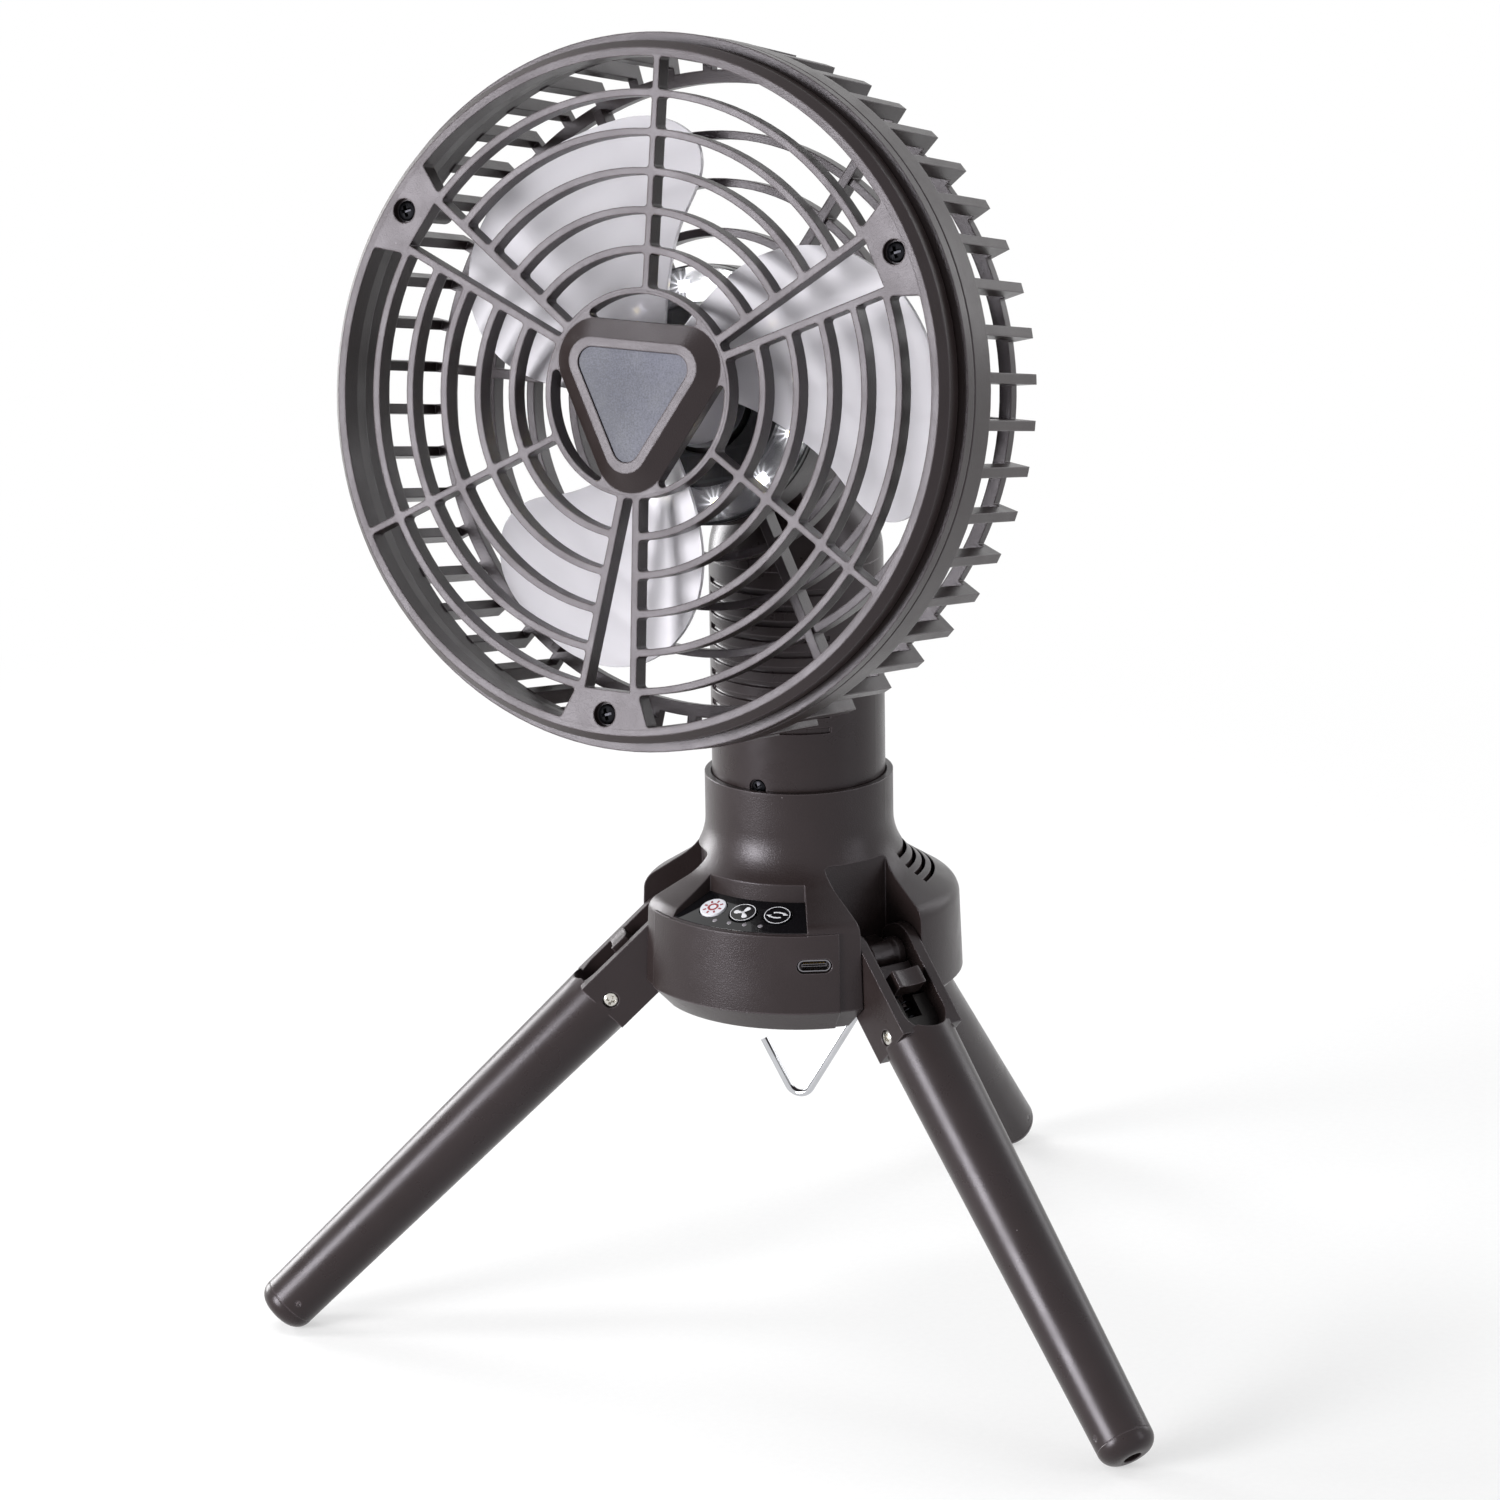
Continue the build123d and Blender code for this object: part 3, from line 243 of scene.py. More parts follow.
# the same ABS from a smoother tool: its highlights are tighter
columnLooks = dict(housingLooks, gloss=(0.26, 0.33), relief=0.02)
# unpainted black ABS inside: dull and darker
innerLooks = dict(housingLooks, colour="#161212", pale="#1c1818", highlightShare=0.2, edge=0.2)
# acetal left its natural milky white, as turned or moulded washers are
washerLooks = dict(housingLooks, colour="#d9d7cf", pale="#e4e2da", edgeHighlight="#f0eee8", dust="#c9c7bf")
# acrylic, polished and printed black from behind: sharp dark mirror
panelLooks = dict(housingLooks, colour="#0b0b0d", pale="#101013", edgeHighlight="#6a686c", gloss=(0.05, 0.1),
                  relief=0.0004, grain=3.0, edge=0.15, dust="#77777d")
# ABS from a polished tool, white
keyLooks = dict(housingLooks, colour="#d7d8e0", pale="#e0e0e8", edgeHighlight="#ffffff", gloss=(0.16, 0.24),
                relief=0.0006, grain=2.0, edge=0.3, dust="#d0d0d6")
# polycarbonate film with a fine sand texture under a matt varnish
filmLooks = dict(housingLooks, colour="#45464f", pale="#5a5b68", edgeHighlight="#7b7c86", gloss=(0.48, 0.6),
                 relief=0.12, speckle=2.4, grain=0.45, edge=0.25, dust="#9a9ba3")
# screen ink: flat, a little uneven where it is thin
whiteInkLooks = dict(keyLooks, colour="#e2e2e8", pale="#efeff4", gloss=(0.35, 0.45), highlightShare=0.0)
redInkLooks = dict(keyLooks, colour="#861820", pale="#96242b", gloss=(0.35, 0.45), highlightShare=0.0, dust="#c7757a")
# smoked polycarbonate light guides: dull grey while unlit
smokeLooks = dict(keyLooks, colour="#77727a", pale="#868189", gloss=(0.2, 0.3), dust="#8f8a92")
# PVC sleeve shrunk round a cell: bright, tight and a little glossy
sleeveLooks = dict(keyLooks, colour="#1f5f9c", pale="#2568a6", edgeHighlight="#5f8fbc", gloss=(0.18, 0.28),
                   dust="#5f8fbc")


def mouldedPlastic(name, looks, values=None):
    material, tree, surface, where = newMaterial(name, {"IOR": 1.53, **(values or {})})
    flow = noise(tree, where, looks["flow"], detail=3.0)
    grain = noise(tree, where, looks["grain"], roughness=0.6)
    swing = looks["speckle"] / 2
    drift = spread(tree, flow, "Fac", noiseSpan, (-swing, 1 - swing), clamp=False)
    fleck = calculate(tree, "MULTIPLY_ADD", (grain, "Fac"), looks["speckle"], (drift, "Result"), use_clamp=True)
    tint = mixColours(tree, fleck, "Value", looks["colour"], looks["pale"])
    # a speck of dust here and there
    cells = addNode(tree, "TexVoronoi", links=[("Vector", where, "Vector")],
                    values={"Scale": 1 / looks["dustCell"]})
    reach = [radius / looks["dustCell"] for radius in looks["speck"]]
    speck = spread(tree, cells, "Distance", reach, (looks["speckShade"], 0))
    chance = addNode(tree, "SeparateColor", links=[("Color", cells, "Color")])
    chosen = calculate(tree, "GREATER_THAN", (chance, "Red"), looks["dustFree"])
    dust = calculate(tree, "MULTIPLY", (speck, "Result"), (chosen, "Value"))
    dusty = mixColours(tree, dust, "Value", tint, looks["dust"])
    # the rounded edge turns away from its face: there a painted highlight makes the skin paler, and it is made
    # smoother
    edge = addNode(tree, "Bevel", {"samples": bevelSamples}, values={"Radius": looks["edge"] * mm})
    face = addNode(tree, "NewGeometry")
    turn = addNode(tree, "VectorMath", {"operation": "DOT_PRODUCT"}, [(0, edge, "Normal"), (1, face, "Normal")])
    edgeHighlight = spread(tree, turn, "Value", looks["highlightTurn"], (0, looks["highlightShare"]))
    colour = mixColours(tree, edgeHighlight, "Result", dusty, looks["edgeHighlight"])
    patch = noise(tree, where, looks["patch"], detail=4.0, roughness=0.6)
    gloss = spread(tree, patch, "Fac", noiseSpan, looks["gloss"])
    smootherEdges = calculate(tree, "MULTIPLY_ADD", (edgeHighlight, "Result"), -looks["smootherEdges"], (gloss, "Result"),
                       use_clamp=True)
    bump = addNode(tree, "Bump", links=[("Height", grain, "Fac"), ("Normal", edge, "Normal")],
                   values={"Strength": 1.0, "Distance": looks["relief"] * mm})
    connect(surface, ("Base Color", colour, mixResult), ("Roughness", smootherEdges, "Value"),
            ("Normal", bump, "Normal"))
    return material


# the soft paint-like skin of the housing returns its highlights a little cool
satinSkin = {"Specular IOR Level": 0.3, "Specular Tint": linear("#f4eff8")}
satinAbs = mouldedPlastic("satinAbs", housingLooks, satinSkin)
smoothAbs = mouldedPlastic("smoothAbs", columnLooks, satinSkin)
blackAbs = mouldedPlastic("blackAbs", innerLooks, {"Specular IOR Level": 0.25})
naturalAcetal = mouldedPlastic("naturalAcetal", washerLooks, {"IOR": 1.48})
blackAcrylic = mouldedPlastic("backPrintedBlackAcrylic", panelLooks, {"IOR": 1.49})
whiteAbs = mouldedPlastic("polishedWhiteAbs", keyLooks)
sandedFilm = mouldedPlastic("sandedPolycarbonateFilm", filmLooks, {"IOR": 1.58, "Specular IOR Level": 0.25})
whiteInk = mouldedPlastic("whiteScreenInk", whiteInkLooks)
redInk = mouldedPlastic("redScreenInk", redInkLooks)
smokedGuide = mouldedPlastic("smokedPolycarbonate", smokeLooks, {"IOR": 1.58})
shrunkSleeve = mouldedPlastic("shrunkPvcSleeve", sleeveLooks)
print("plastics ready")

bladeLooks = {
    "colour": "#e0dde4",
    "pale": "#e7e5eb",
    "gloss": (0.13, 0.2),
    "flow": 30.0,              # mm
    "clear": 0.22,             # how much light goes straight through
    "edge": 0.35,              # mm
}


def frostedSan(looks):
    # styrene-acrylonitrile, moulded slightly milky: light comes through softly and its edges catch it
    values = {"IOR": 1.57, "Transmission Weight": looks["clear"]}
    material, tree, surface, where = newMaterial("frostedSan", values)
    flow = noise(tree, where, looks["flow"], detail=1.0)
    tint = mixColours(tree, flow, "Fac", looks["colour"], looks["pale"])
    gloss = spread(tree, flow, "Fac", (0, 1), looks["gloss"])
    edge = addNode(tree, "Bevel", {"samples": bevelSamples}, values={"Radius": looks["edge"] * mm})
    connect(surface, ("Base Color", tint, mixResult), ("Roughness", gloss, "Result"),
            ("Normal", edge, "Normal"))
    return material


bladeSan = frostedSan(bladeLooks)

# ---- metals

metalLooks = {
    "patch": 6.0,              # mm between its paler and its darker places
    "drawn": 0.08,             # its lines are this much sparser along z
}
# lines and relief are in mm
# spring wire, nickel and chrome plated: a clean mirror with faint drawing lines
chromeLooks = dict(metalLooks, colour="#babbbe", pale="#cbccd0", gloss=(0.03, 0.08), lines=0.6, relief=0.0005)
# mild steel, bright nickel plated: warmer and softer than chrome
nickelLooks = dict(metalLooks, colour="#bdbab4", pale="#d2cfc9", gloss=(0.14, 0.26), lines=0.3, relief=0.002)
# zinc-plated steel, passivated black: nearly black, with a dull metal sheen
zincLooks = dict(metalLooks, colour="#19191b", pale="#2a2a2e", gloss=(0.26, 0.38), lines=0.3, relief=0.003)
# deep-drawn steel can with the drag marks of its die
canLooks = dict(metalLooks, colour="#8f9193", pale="#a4a6a8", gloss=(0.28, 0.42), lines=0.5, relief=0.005)
# the socket's pressed shell, dulled
shellLooks = dict(nickelLooks, colour="#77757a", pale="#8b898d", gloss=(0.22, 0.34))
# gold flash over nickel: a thin warm gleam
goldLooks = dict(metalLooks, colour="#d3ad55", pale="#e3c06e", gloss=(0.15, 0.25), lines=0.3, relief=0.001)


def platedMetal(name, looks):
    material, tree, surface, where = newMaterial(name, {"Metallic": 1.0})
    patch = noise(tree, where, looks["patch"], detail=3.0)
    tint = mixColours(tree, patch, "Fac", looks["colour"], looks["pale"])
    drawn = addNode(tree, "Mapping", links=[("Vector", where, "Vector")],
                    values={"Scale": (1, 1, looks["drawn"])})
    lines = noise(tree, drawn, looks["lines"], detail=3.0)
    gloss = spread(tree, lines, "Fac", noiseSpan, looks["gloss"])
    bump = addNode(tree, "Bump", links=[("Height", lines, "Fac")], values={"Distance": looks["relief"] * mm})
    connect(surface, ("Base Color", tint, mixResult), ("Roughness", gloss, "Result"),
            ("Normal", bump, "Normal"))
    return material


polishedChrome = platedMetal("polishedChrome", chromeLooks)
brightNickel = platedMetal("brightNickelSteel", nickelLooks)
blackZinc = platedMetal("blackZincSteel", zincLooks)
drawnSteel = platedMetal("deepDrawnSteel", canLooks)
goldFlash = platedMetal("goldFlash", goldLooks)
dullNickel = platedMetal("dullNickelShell", shellLooks)
print("metals ready")

# ---- boards and lamp

boardLooks = {
    "mask": "#0f4a2a",
    "copper": "#2c7a4a",
    "pitch": 4.0,              # mm; the tracks are in pitches
    "track": 0.02,
    "trackLength": 1.3,
    "trackRow": 0.4,
    "relief": 0.03,            # mm
    "gloss": (0.25, 0.4),
    "patch": 3.0,              # mm
}
lampBoardLooks = dict(boardLooks, mask="#131416", copper="#232528")


def circuitBoard(name, looks):
    # glass-epoxy board under solder mask: the copper tracks show through as paler lines
    material, tree, surface, where = newMaterial(name, {"IOR": 1.5})
    mask, copper = linear(looks["mask"]), linear(looks["copper"])
    tracks = addNode(tree, "TexBrick", links=[("Vector", where, "Vector")],
                     values={"Scale": 1 / looks["pitch"], "Mortar Size": looks["track"],
                             "Brick Width": looks["trackLength"], "Row Height": looks["trackRow"],
                             "Color1": mask, "Color2": mask, "Mortar": copper})
    patch = noise(tree, where, looks["patch"])
    gloss = spread(tree, patch, "Fac", (0, 1), looks["gloss"])
    bump = addNode(tree, "Bump", links=[("Height", tracks, "Fac")], values={"Distance": looks["relief"] * mm})
    connect(surface, ("Base Color", tracks, "Color"), ("Roughness", gloss, "Result"),
            ("Normal", bump, "Normal"))
    return material


greenBoard = circuitBoard("greenCircuitBoard", boardLooks)
blackBoard = circuitBoard("blackLampBoard", lampBoardLooks)

lampLooks = {
    "count": 12,
    "ring": 29.0,              # mm, radius of the ring of LEDs
    "chip": (0.72, 1.2),       # mm, the glowing middle of one LED, where its rim starts and ends
    # count of painted star glints round each LED
    "rays": 12,
    "glintNarrow": 6.0,          # higher is thinner
    "betweenGlints": 0.12,       # painted glow left between the glints
    "fall": 3.0,               # higher gathers the glow nearer to the LED
    "ledLight": 45.0,
    "ledHalo": 8.0,            # mm
    # painted glow on the clear lens, which is no lamp: its strength, and its reach in mm
    "paintedLensGlow": 2.0,
    "paintedLensGlowReach": 6.5,           # mm
    "white": "#fbfbff",
    "phosphor": "#f4e6a6",
    "body": "#e9e9ee",
}


def litLamp(name, looks, values, light, halo):
    # the distance from the nearest LED, worked out on the face of the lamp, lights chip and halo; the rays
    # through the halo are painted star glints, and on the lens all of it is painted glow
    material, tree, surface, where = newMaterial(name, values)
    local = addNode(tree, "Mapping", {"vector_type": "TEXTURE"}, [("Vector", where, "Vector")],
                    {"Location": onHead.translation / mm, "Rotation": onHead.to_euler()})
    split = addNode(tree, "SeparateXYZ", links=[("Vector", local, "Vector")])
    angle = calculate(tree, "ARCTAN2", (split, "Y"), (split, "X"))
    step = math.tau / looks["count"]
    sector = calculate(tree, "WRAP", (angle, "Value"), step, 0)
    across = calculate(tree, "MULTIPLY_ADD", (sector, "Value"), looks["ring"], -looks["ring"] * step / 2)
    flat = addNode(tree, "CombineXYZ", links=[("X", split, "X"), ("Y", split, "Y")])
    reach = addNode(tree, "VectorMath", {"operation": "LENGTH"}, [("Vector", flat, "Vector")])
    outward = calculate(tree, "SUBTRACT", (reach, "Value"), looks["ring"])
    star = addNode(tree, "CombineXYZ", links=[("X", across, "Value"), ("Y", outward, "Value")])
    distance = addNode(tree, "VectorMath", {"operation": "LENGTH"}, [("Vector", star, "Vector")])
    # thin rays through each glow: painted star glints
    around = calculate(tree, "ARCTAN2", (outward, "Value"), (across, "Value"))
    turns = calculate(tree, "MULTIPLY", (around, "Value"), looks["rays"] / 2)
    wave = calculate(tree, "COSINE", (turns, "Value"))
    height = calculate(tree, "ABSOLUTE", (wave, "Value"))
    thin = calculate(tree, "POWER", (height, "Value"), looks["glintNarrow"])
    ray = spread(tree, thin, "Value", (0, 1), (looks["betweenGlints"], 1))
    near = spread(tree, distance, "Value", (0, halo), (1, 0))
    soft = calculate(tree, "POWER", (near, "Result"), looks["fall"])
    glowAndGlints = calculate(tree, "MULTIPLY", (soft, "Value"), (ray, "Result"))
    lit = calculate(tree, "MULTIPLY", (glowAndGlints, "Value"), light)
    core = spread(tree, distance, "Value", looks["chip"], (1, 0), interpolation_type="SMOOTHSTEP")
    tint = mixColours(tree, core, "Result", looks["body"], looks["phosphor"])
    connect(surface, ("Base Color", tint, mixResult), ("Emission Strength", lit, "Value"))
    surface.inputs["Emission Color"].default_value = linear(looks["white"])
    return material


# white LEDs, lit: the phosphor under each dome is far brighter than what surrounds it, with painted star glints
# round each
litLeds = litLamp("litLeds", lampLooks, {"IOR": 1.5, "Roughness": 0.3},
                  lampLooks["ledLight"], lampLooks["ledHalo"])
# clear polycarbonate ring over them, with a painted glow and star glints round each LED
lensPaintedGlow = litLamp("polycarbonateLensPaintedGlow", lampLooks,
                      {"IOR": 1.58, "Roughness": 0.12, "Transmission Weight": 0.85},
                      lampLooks["paintedLensGlow"], lampLooks["paintedLensGlowReach"])
print("lamp ready")

# ---- finish of each CAD node

finishes = [
    # material, the nodes that have it
    (satinAbs, ["base_shell", "base_bottom", "front_grille", "rear_grille", "motor_cover", "leg_barrels"]),
    (smoothAbs, ["column_tube", "column_head"]),
    (blackAbs, ["battery_frame", "swivel_retainer", "tact_switches"]),
    (naturalAcetal, ["swivel_washer", "tilt_washers"]),
    (blackAcrylic, ["control_panel", "fan_button", "swing_button"]),
    (whiteAbs, ["light_button"]),
    (smokedGuide, ["indicator_lenses"]),
    (sandedFilm, ["emblem_plate"]),
    (bladeSan, ["fan_rotor"]),
    (litLeds, ["leds"]),
    (lensPaintedGlow, ["led_lens"]),
    (polishedChrome, ["hanging_hook"]),
    (brightNickel, ["leg_pins", "tilt_bolt", "rotor_shaft", "swing_shaft", "retainer_screws"]),
    (dullNickel, ["usb_port"]),
    (blackZinc, ["base_screws", "grille_screws", "column_screw", "cover_screws"]),
    (drawnSteel, ["swing_motor", "fan_motor"]),
    (greenBoard, ["main_board", "charge_board", "button_board"]),
    (blackBoard, ["led_board"]),
    (shrunkSleeve, ["battery_cells"]),
]
for side in sides:
    finishes += [
        (smoothAbs, [f"{side}_leg_tube", f"{side}_leg_foot"]),
        (satinAbs, [f"{side}_leg_latch"]),
        (blackAbs, [f"{side}_leg_core"]),
        (brightNickel, [f"{side}_leg_screws"]),
        (blackZinc, [f"{side}_leg_latch_spring"]),
    ]
dressed = set()
for material, names in finishes:
    for name in names:
        nodes[name].data.materials.clear()
        nodes[name].data.materials.append(material)
        dressed.add(name)
print("finishes given to", len(dressed), "of", len(nodes), "nodes;", sorted(set(nodes) - dressed))

# ---- screws with a cross recess

screwLooks = {
    # lengths are shares of the head's radius
    "crossLength": 0.58,
    "crossWidth": 0.17,
    "crossDepth": 0.504,
    "crossFoot": 0.62,         # the cross at its bottom, as a share of the cross at the top
    "crossLip": (0.94, 1.04),  # its rounded mouth, in the same way
    "lipDrop": 0.05,
    "dome": 0.3,               # fall of the top from its middle to its rim
    # reach and drop below the dome, out to the rim
    "profile": ((0.66, 0), (0.8, 0), (0.92, 0), (0.98, 0.06), (1, 0.2)),
    "sharp": 32,               # degrees, from which a fold stays an edge
}
screwSets = {
    # places and heads (radius, height) in mm, turn of the cross in degrees
    "grille": {"azimuths": (60, 180, 300), "at": (0, 83.3, -2.2), "turn": 20, "head": (2.7, 1.5)},
    "cover": {"azimuths": (45, 135, 225, 315), "at": (28.5, 0, -53), "head": (2.2, 1.4)},
    "base": {"azimuths": (64, 116, 232), "at": (34, 0, 1.4), "head": (2.2, 1.4)},
    "column": {"at": (0, -24, 12.5), "sunk": (0, 0, -0.9), "turn": 35, "head": (2.2, 0.9)},
    "cheek": {"at": (24.4, 0, 0), "out": (0, 0, 9.1), "turn": 25, "head": (2.2, 1.0)},
    "foot": {"at": (149.4, 0, 0), "out": (0, 0, 7.6), "head": (0.8, 0.45)},
}


def screwHead(work, place, radius, height, recess=True):
    # a pan head: rings of points from the bottom of the cross out to the rim; z = 0 is its seat
    looks = screwLooks
    long, wide = looks["crossLength"] * radius, looks["crossWidth"] * radius
    corner = math.degrees(math.atan2(wide, long))
    # an eighth at a time, with points on the corners of the cross
    steps = [0, corner / 2, corner, (corner + 45) / 2, 45, (135 - corner) / 2, 90 - corner, 90 - corner / 2]
    angles = [math.radians(90 * quarter + step) for quarter in range(4) for step in steps]

    def crossReach(angle):
        c, s = abs(math.cos(angle)) + 1e-9, abs(math.sin(angle)) + 1e-9
        return max(min(long / c, wide / s), min(wide / c, long / s))

    def domeAt(reach):
        return height - looks["dome"] * radius * (reach / radius) ** 2

    rings = []
    if recess:
        foot, (lipIn, lipOut), drop = looks["crossFoot"], looks["crossLip"], looks["lipDrop"] * radius
        rings.append([(foot * crossReach(a), height - looks["crossDepth"] * radius) for a in angles])
        rings.append([(lipIn * crossReach(a), domeAt(crossReach(a)) - drop) for a in angles])
        rings.append([(lipOut * crossReach(a), domeAt(crossReach(a))) for a in angles])
    for share, drop in looks["profile"]:
        rings.append([(share * radius, domeAt(share * radius) - drop * radius)] * len(angles))
    rings.append([(radius, 0)] * len(angles))
    addSkin(work, [addPoints(work, place, [(r * math.cos(a), r * math.sin(a), z)
                                           for a, (r, z) in zip(angles, ring)]) for ring in rings])


def addScrews(name, heads, material, body, node):
    work = bmesh.new()
    for head in heads:
        screwHead(work, *head)
    bmesh.ops.recalc_face_normals(work, faces=work.faces)
    mesh = meshFrom(work, name)
    mesh.shade_smooth()
    mesh.set_sharp_from_angle(angle=math.radians(screwLooks["sharp"]))
    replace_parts(addPiece(name, mesh, material, body), node)


def outerHeads(place, screws):
    # around z, and turned over so that they show from the far side
    return [(place @ placed(("Z", a), screws["at"], ("X", 180)), *screws["head"]) for a in screws["azimuths"]]


def grilleHeads(screws):
    return [(onHead @ placed(("Z", -a), screws["at"], ("Z", screws["turn"] + a)), *screws["head"])
            for a in screws["azimuths"]]


def columnHead(screw):
    place = onColumn @ placed(screw["at"], ("X", 90), screw["sunk"], ("Z", screw["turn"]))
    return (place, *screw["head"])


def legHeads(side, cheek, foot):
    heads = []
    for across in (-1, 1):
        sideways = ("X", -90 * across)
        heads.append((onLeg(side) @ placed(cheek["at"], sideways, cheek["out"], ("Z", cheek["turn"])),
                      *cheek["head"]))
        # the plain end of the foot's pin
        heads.append((onLeg(side) @ placed(foot["at"], sideways, foot["out"]), *foot["head"], False))
    return heads


addScrews("grilleScrews", grilleHeads(screwSets["grille"]),
          blackZinc, "head", "grille_screws")
addScrews("coverScrews", outerHeads(onHead, screwSets["cover"]),
          blackZinc, "head", "cover_screws")
addScrews("baseScrews", outerHeads(onBase, screwSets["base"]),
          blackZinc, "base", "base_screws")
addScrews("columnScrew", [columnHead(screwSets["column"])],
          blackZinc, "column", "column_screw")
for side in sides:
    addScrews(f"{side}LegScrews", legHeads(side, screwSets["cheek"], screwSets["foot"]),
              brightNickel, f"{side}_leg", f"{side}_leg_screws")
print("screws made")

# ---- springs behind the latches

springLooks = {
    # mm
    "ends": (12.4, 29.7),      # along the leg from its hinge
    "coil": 1.7,
    "wire": 0.3,
    "turns": 9,
    "closed": 2.05,            # pitch of the end coils, in radii of the wire: they lie against each other
    "travel": 2.5,
    "steps": 24,               # in one turn
    "corners": 8,              # round the wire
}


def addSpring(side):
    place = onLeg(side)
    (low, high), turns, wire, steps = (springLooks[key] for key in ("ends", "turns", "wire", "steps"))
    closedPitch = springLooks["closed"] * wire
    openPitch = (high - low - 2 * closedPitch) / (turns - 2)
    rings = []
    work = bmesh.new()
    for step in range(steps * turns + 1):
        turn = step / steps
        closed = min(turn, 1) + max(turn - turns + 1, 0)
        along = low + closed * closedPitch + (turn - closed) * openPitch
        outward = Vector((0, math.cos(math.tau * turn), math.sin(math.tau * turn)))
        middle = Vector((along, 0, 0)) + springLooks["coil"] * outward
        rings.append(addPoints(work, place, [middle + wire * (x * outward + Vector((y, 0, 0)))
                                             for x, y in circle(1.0, springLooks["corners"])]))
    addSkin(work, rings)
    bmesh.ops.recalc_face_normals(work, faces=work.faces)
    mesh = meshFrom(work, f"{side}Spring")
    mesh.shade_smooth()
    spring = addPiece(f"{side}LatchSpring", mesh, blackZinc, f"{side}_leg")
    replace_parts(spring, f"{side}_leg_latch_spring")
    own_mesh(spring)


for side in sides:
    addSpring(side)
print("springs wound")

# ---- printed signs on the three buttons

signLooks = {
    # mm and degrees
    "button": 36.7,            # radius of the ring of buttons
    "azimuths": {"light": 254.7, "fan": 270, "swing": 285.3},
    "top": 0.4,                # a button's face over the panel
    "sunk": 0.02,              # how far the ink reaches into the face
    "ink": 0.03,               # how far it stands out
    "rim": (3.4, 3.62),
    "sun": (0.95, 1.6),
    "ray": (1.95, 2.9, 0.28),  # from, to, half width
    "rays": 8,
    "blade": (0.2, 2.55, 1.15),     # root, tip, width
    "blades": (190, 310, 70),
    "hub": 0.5,
    "arrow": [(-1.1, 0.95), (-0.3, 1.15), (0.5, 1.12), (1.3, 0.9), (1.95, 0.55)],
    "barb": [(1.6, -0.1), (1.85, 1.1), (3.05, 0.05)],
    "stroke": 0.25,            # half width of the arrow's line
}


def turnedBy(points, degrees):
    c, s = math.cos(math.radians(degrees)), math.sin(math.radians(degrees))
    return [(c * x - s * y, s * x + c * y) for x, y in points]


def inkRing(work, place, inner, outer, low, high):
    rows = [addPoints(work, place, [(x, y, z) for x, y in circle(r)])
            for r, z in ((inner, low), (inner, high), (outer, high), (outer, low))]
    addSkin(work, rows + rows[:1], ends=False)


def inkShape(work, place, points, low, high):
    addSkin(work, [addPoints(work, place, [(x, y, z) for x, y in points]) for z in (low, high)])


def strip(middle, half):
    # a stroke of even width along a line of points
    edges = []
    for i, (x, y) in enumerate(middle):
        (x0, y0), (x1, y1) = middle[max(i - 1, 0)], middle[min(i + 1, len(middle) - 1)]
        length = math.hypot(x1 - x0, y1 - y0)
        aside = ((y1 - y0) / length * half, (x1 - x0) / length * half)
        edges.append(((x - aside[0], y + aside[1]), (x + aside[0], y - aside[1])))
    return [left for left, right in edges] + [right for left, right in edges[::-1]]


def addSign(button, rings, shapes, material):
    place = onPanel(signLooks["button"], signLooks["azimuths"][button])
    low, high = signLooks["top"] - signLooks["sunk"], signLooks["top"] + signLooks["ink"]
    work = bmesh.new()
    for inner, outer in rings:
        inkRing(work, place, inner, outer, low, high)
    for points in shapes:
        inkShape(work, place, points, low, high)
    bmesh.ops.recalc_face_normals(work, faces=work.faces)
    addPiece(button + "Sign", meshFrom(work, button + "Sign"), material, button + "_button")


start, end, half = signLooks["ray"]
ray = [(start, -half), (end, -half), (end, half), (start, half)]
rays = [turnedBy(ray, 360 / signLooks["rays"] * i) for i in range(signLooks["rays"])]
addSign("light", [signLooks["sun"]], rays, redInk)

root, tip, width = signLooks["blade"]
# one blade: narrow at the root, widest near its rounded tip
blade = [(root, -0.15), (0.9, -0.5 * width), (1.7, -0.85 * width), (2.25, -0.78 * width), (tip, -0.35 * width),
         (tip + 0.05, 0.1 * width), (2.35, 0.38 * width), (1.6, 0.44 * width), (0.9, 0.32 * width), (root, 0.2)]
hubDot = circle(signLooks["hub"], 16)
blades = [turnedBy(blade, a) for a in signLooks["blades"]]
addSign("fan", [signLooks["rim"]], [hubDot] + blades, whiteInk)

line = strip(signLooks["arrow"], signLooks["stroke"])
arrows = [turnedBy(shape, a) for shape in (line, signLooks["barb"]) for a in (0, 180)]
addSign("swing", [signLooks["rim"]], arrows, whiteInk)
print("signs printed")

# ---- charging socket: black tongue with gold contacts

socketLooks = {
    # mm and degrees; x comes out of the socket, and size is across and up
    "azimuth": 299.75,
    "face": 44.4,
    "height": 19.9,
    "tongue": {"ends": (-6.9, -0.6), "size": (6.8, 0.8), "softened": 0.15},
    "contact": {"ends": (-4.6, -1.2), "size": (0.24, 0.1), "softened": 0.02},
    "contacts": 12,            # on each face of the tongue
    "pitch": 0.5,
}


def addBar(work, place, middle, looks):
    (back, front), (width, thickness) = looks["ends"], looks["size"]
    bar = bmesh.ops.create_cube(work, size=1.0)["verts"]
    stretched = Matrix.Diagonal((front - back, width, thickness, 1))
    bmesh.ops.transform(work, verts=bar, matrix=Matrix.Translation(((back + front) / 2, *middle)) @ stretched)
    edges = list({edge for vert in bar for edge in vert.link_edges})
    made = bmesh.ops.bevel(work, geom=edges, offset=looks["softened"], segments=2, affect="EDGES", profile=0.5)
    verts = set(made["verts"]) | {vert for vert in bar if vert.is_valid}
    bmesh.ops.transform(work, verts=list(verts), matrix=place @ Matrix.Scale(mm, 4))


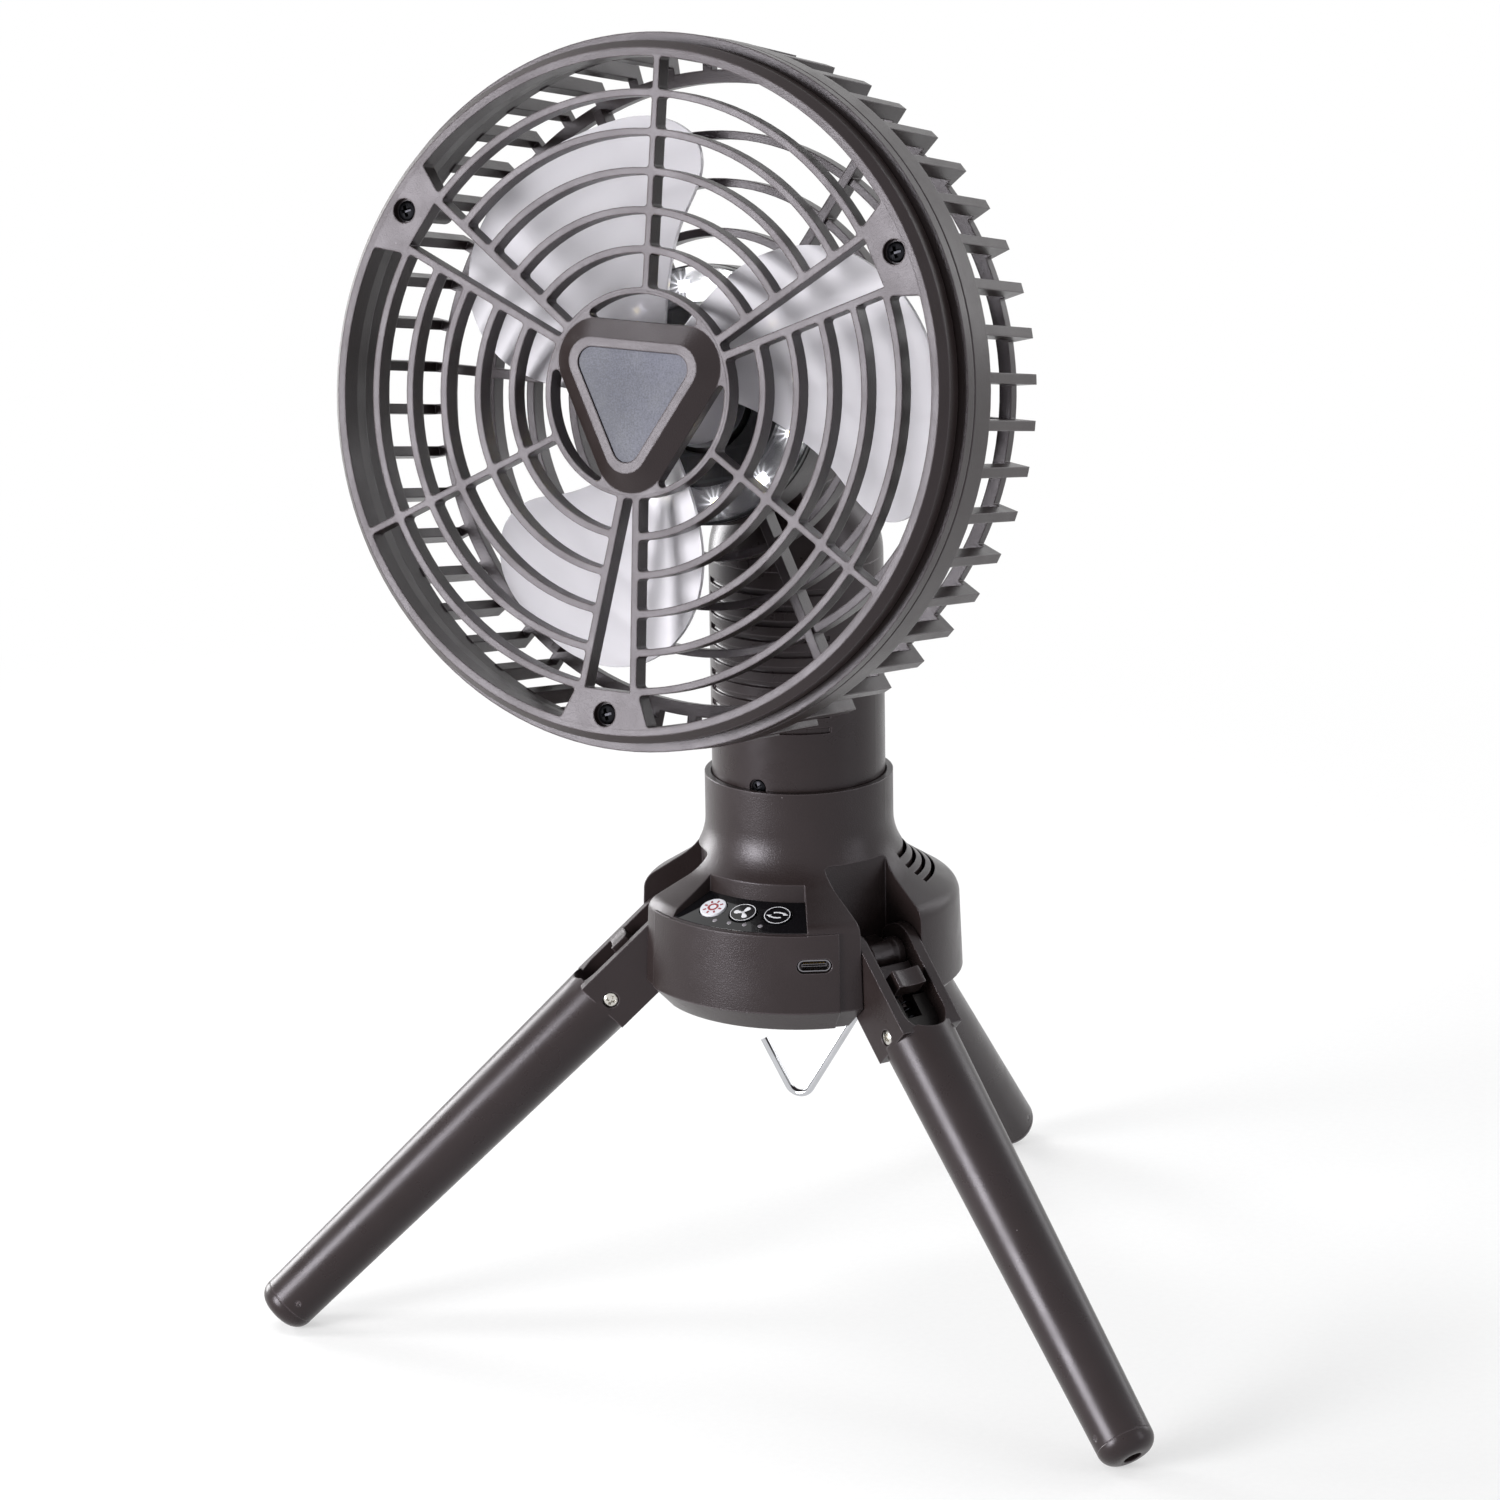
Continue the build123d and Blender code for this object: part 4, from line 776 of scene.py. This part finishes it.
def addSocket():
    place = onBase @ placed(("Z", socketLooks["azimuth"]), (socketLooks["face"], 0, socketLooks["height"]))
    tongue, contacts = bmesh.new(), bmesh.new()
    addBar(tongue, place, (0, 0), socketLooks["tongue"])
    count, thickness = socketLooks["contacts"], socketLooks["tongue"]["size"][1]
    for face in (-1, 1):
        for i in range(count):
            y = (i - (count - 1) / 2) * socketLooks["pitch"]
            addBar(contacts, place, (y, face * thickness / 2), socketLooks["contact"])
    addPiece("socketTongue", meshFrom(tongue, "socketTongue"), blackAbs, "base")
    addPiece("socketContacts", meshFrom(contacts, "socketContacts"), goldFlash, "base")


addSocket()
print("socket fitted")

# ---- floor, light and camera, in metres

stageLooks = {
    "floorSize": 6.0,
    "floorCorners": 64,
    "floor": "#f6f6f7",
    "fibre": 0.002,            # of its paper
    "fade": (0.3, 0.8),        # the floor turns to plain white between these distances from the object
    "paper": 0.5,              # how much of the floor's look is its own shade, and so its shadow
    "white": "#ffffff",
    "ambient": 0.42,
}
lampBoxes = {
    # place, aimed at, size, power in watts
    "keyBox": ((-0.86, -1.5, 0.43), (0, 0, 0.24), (0.7, 0.8), 42),
    "leftBox": ((-1.25, 0.3, 0.25), (0, 0, 0.15), (0.5, 0.9), 16),
    "sideBox": ((1.35, 0.1, 0.5), (0, 0, 0.2), (0.2, 1.1), 3),
    "rimBox": ((0.7, 1.1, 0.8), (0, 0, 0.22), (0.4, 1.1), 4),
    # a small one high up draws the light lines on upper edges
    "edgeBox": ((-0.64, -0.2, 1.38), (0, 0, 0.15), (0.35, 0.5), 5),
}
cameraLooks = {
    "lens": 131.6,             # mm
    "sensor": 36,              # mm
    "near": 0.05,
    "at": (0.6241, -1.3197, 0.5776),
    "right": (0.90184, 0.43178, -0.01559),
    "up": (-0.10425, 0.25247, 0.96203),
}


def addFloor():
    work = bmesh.new()
    bmesh.ops.create_circle(work, cap_ends=True, segments=stageLooks["floorCorners"],
                            radius=stageLooks["floorSize"])
    floor = bpy.data.objects.new("floor", meshFrom(work, "floor"))
    bpy.context.scene.collection.objects.link(floor)
    material = bpy.data.materials.new("whitePaper")
    material.use_nodes = True
    tree = material.node_tree
    tree.nodes.clear()
    where = addNode(tree, "TexCoord")
    distance = addNode(tree, "VectorMath", {"operation": "LENGTH"}, [("Vector", where, "Object")])
    fade = spread(tree, distance, "Value", stageLooks["fade"], (1 - stageLooks["paper"], 1),
                  interpolation_type="SMOOTHSTEP")
    fibre = addNode(tree, "TexNoise", links=[("Vector", where, "Object")],
                    values={"Scale": 1 / stageLooks["fibre"]})
    tint = mixColours(tree, fibre, "Fac", stageLooks["floor"], stageLooks["white"])
    paper = addNode(tree, "BsdfDiffuse", links=[("Color", tint, mixResult)])
    glow = addNode(tree, "Emission", values={"Color": linear(stageLooks["white"]), "Strength": 1.0})
    mix = addNode(tree, "MixShader", links=[("Fac", fade, "Result"), (1, paper, "BSDF"), (2, glow, "Emission")])
    addNode(tree, "OutputMaterial", links=[("Surface", mix, "Shader")])
    floor.data.materials.append(material)


def addWorld():
    # plain white where it is seen, directly, through a piece or in a reflection, and a softer fill elsewhere
    world = bpy.data.worlds.new("studio")
    world.use_nodes = True
    tree = world.node_tree
    tree.nodes.clear()
    path = addNode(tree, "LightPath")
    direct = calculate(tree, "MAXIMUM", (path, "Is Camera Ray"), (path, "Is Transmission Ray"))
    seen = calculate(tree, "MAXIMUM", (direct, "Value"), (path, "Is Glossy Ray"))
    white = linear(stageLooks["white"])
    fill = addNode(tree, "Background", values={"Color": white, "Strength": stageLooks["ambient"]})
    plain = addNode(tree, "Background", values={"Color": white, "Strength": 1.0})
    mix = addNode(tree, "MixShader",
                  links=[("Fac", seen, "Value"), (1, fill, "Background"), (2, plain, "Background")])
    addNode(tree, "OutputWorld", links=[("Surface", mix, "Shader")])
    bpy.context.scene.world = world


def addLamp(name, at, target, size, power):
    lamp = bpy.data.lights.new(name, "AREA")
    lamp.shape = "RECTANGLE"
    lamp.size, lamp.size_y = size
    lamp.energy = power
    holder = bpy.data.objects.new(name, lamp)
    bpy.context.scene.collection.objects.link(holder)
    holder.location = at
    holder.rotation_euler = (Vector(target) - Vector(at)).to_track_quat("-Z", "Y").to_euler()


def addCamera():
    lens = bpy.data.cameras.new("camera")
    lens.lens, lens.sensor_width, lens.clip_start = (cameraLooks[key] for key in ("lens", "sensor", "near"))
    camera = bpy.data.objects.new("camera", lens)
    bpy.context.scene.collection.objects.link(camera)
    right, up = Vector(cameraLooks["right"]), Vector(cameraLooks["up"])
    camera.matrix_world = Matrix.Translation(cameraLooks["at"]) @ axesTurn(right, up, right.cross(up))
    bpy.context.scene.camera = camera


addFloor()
addWorld()
for name, lampBox in lampBoxes.items():
    addLamp(name, *lampBox)
addCamera()
bpy.context.scene.view_settings.view_transform = "Standard"
print("stage set")
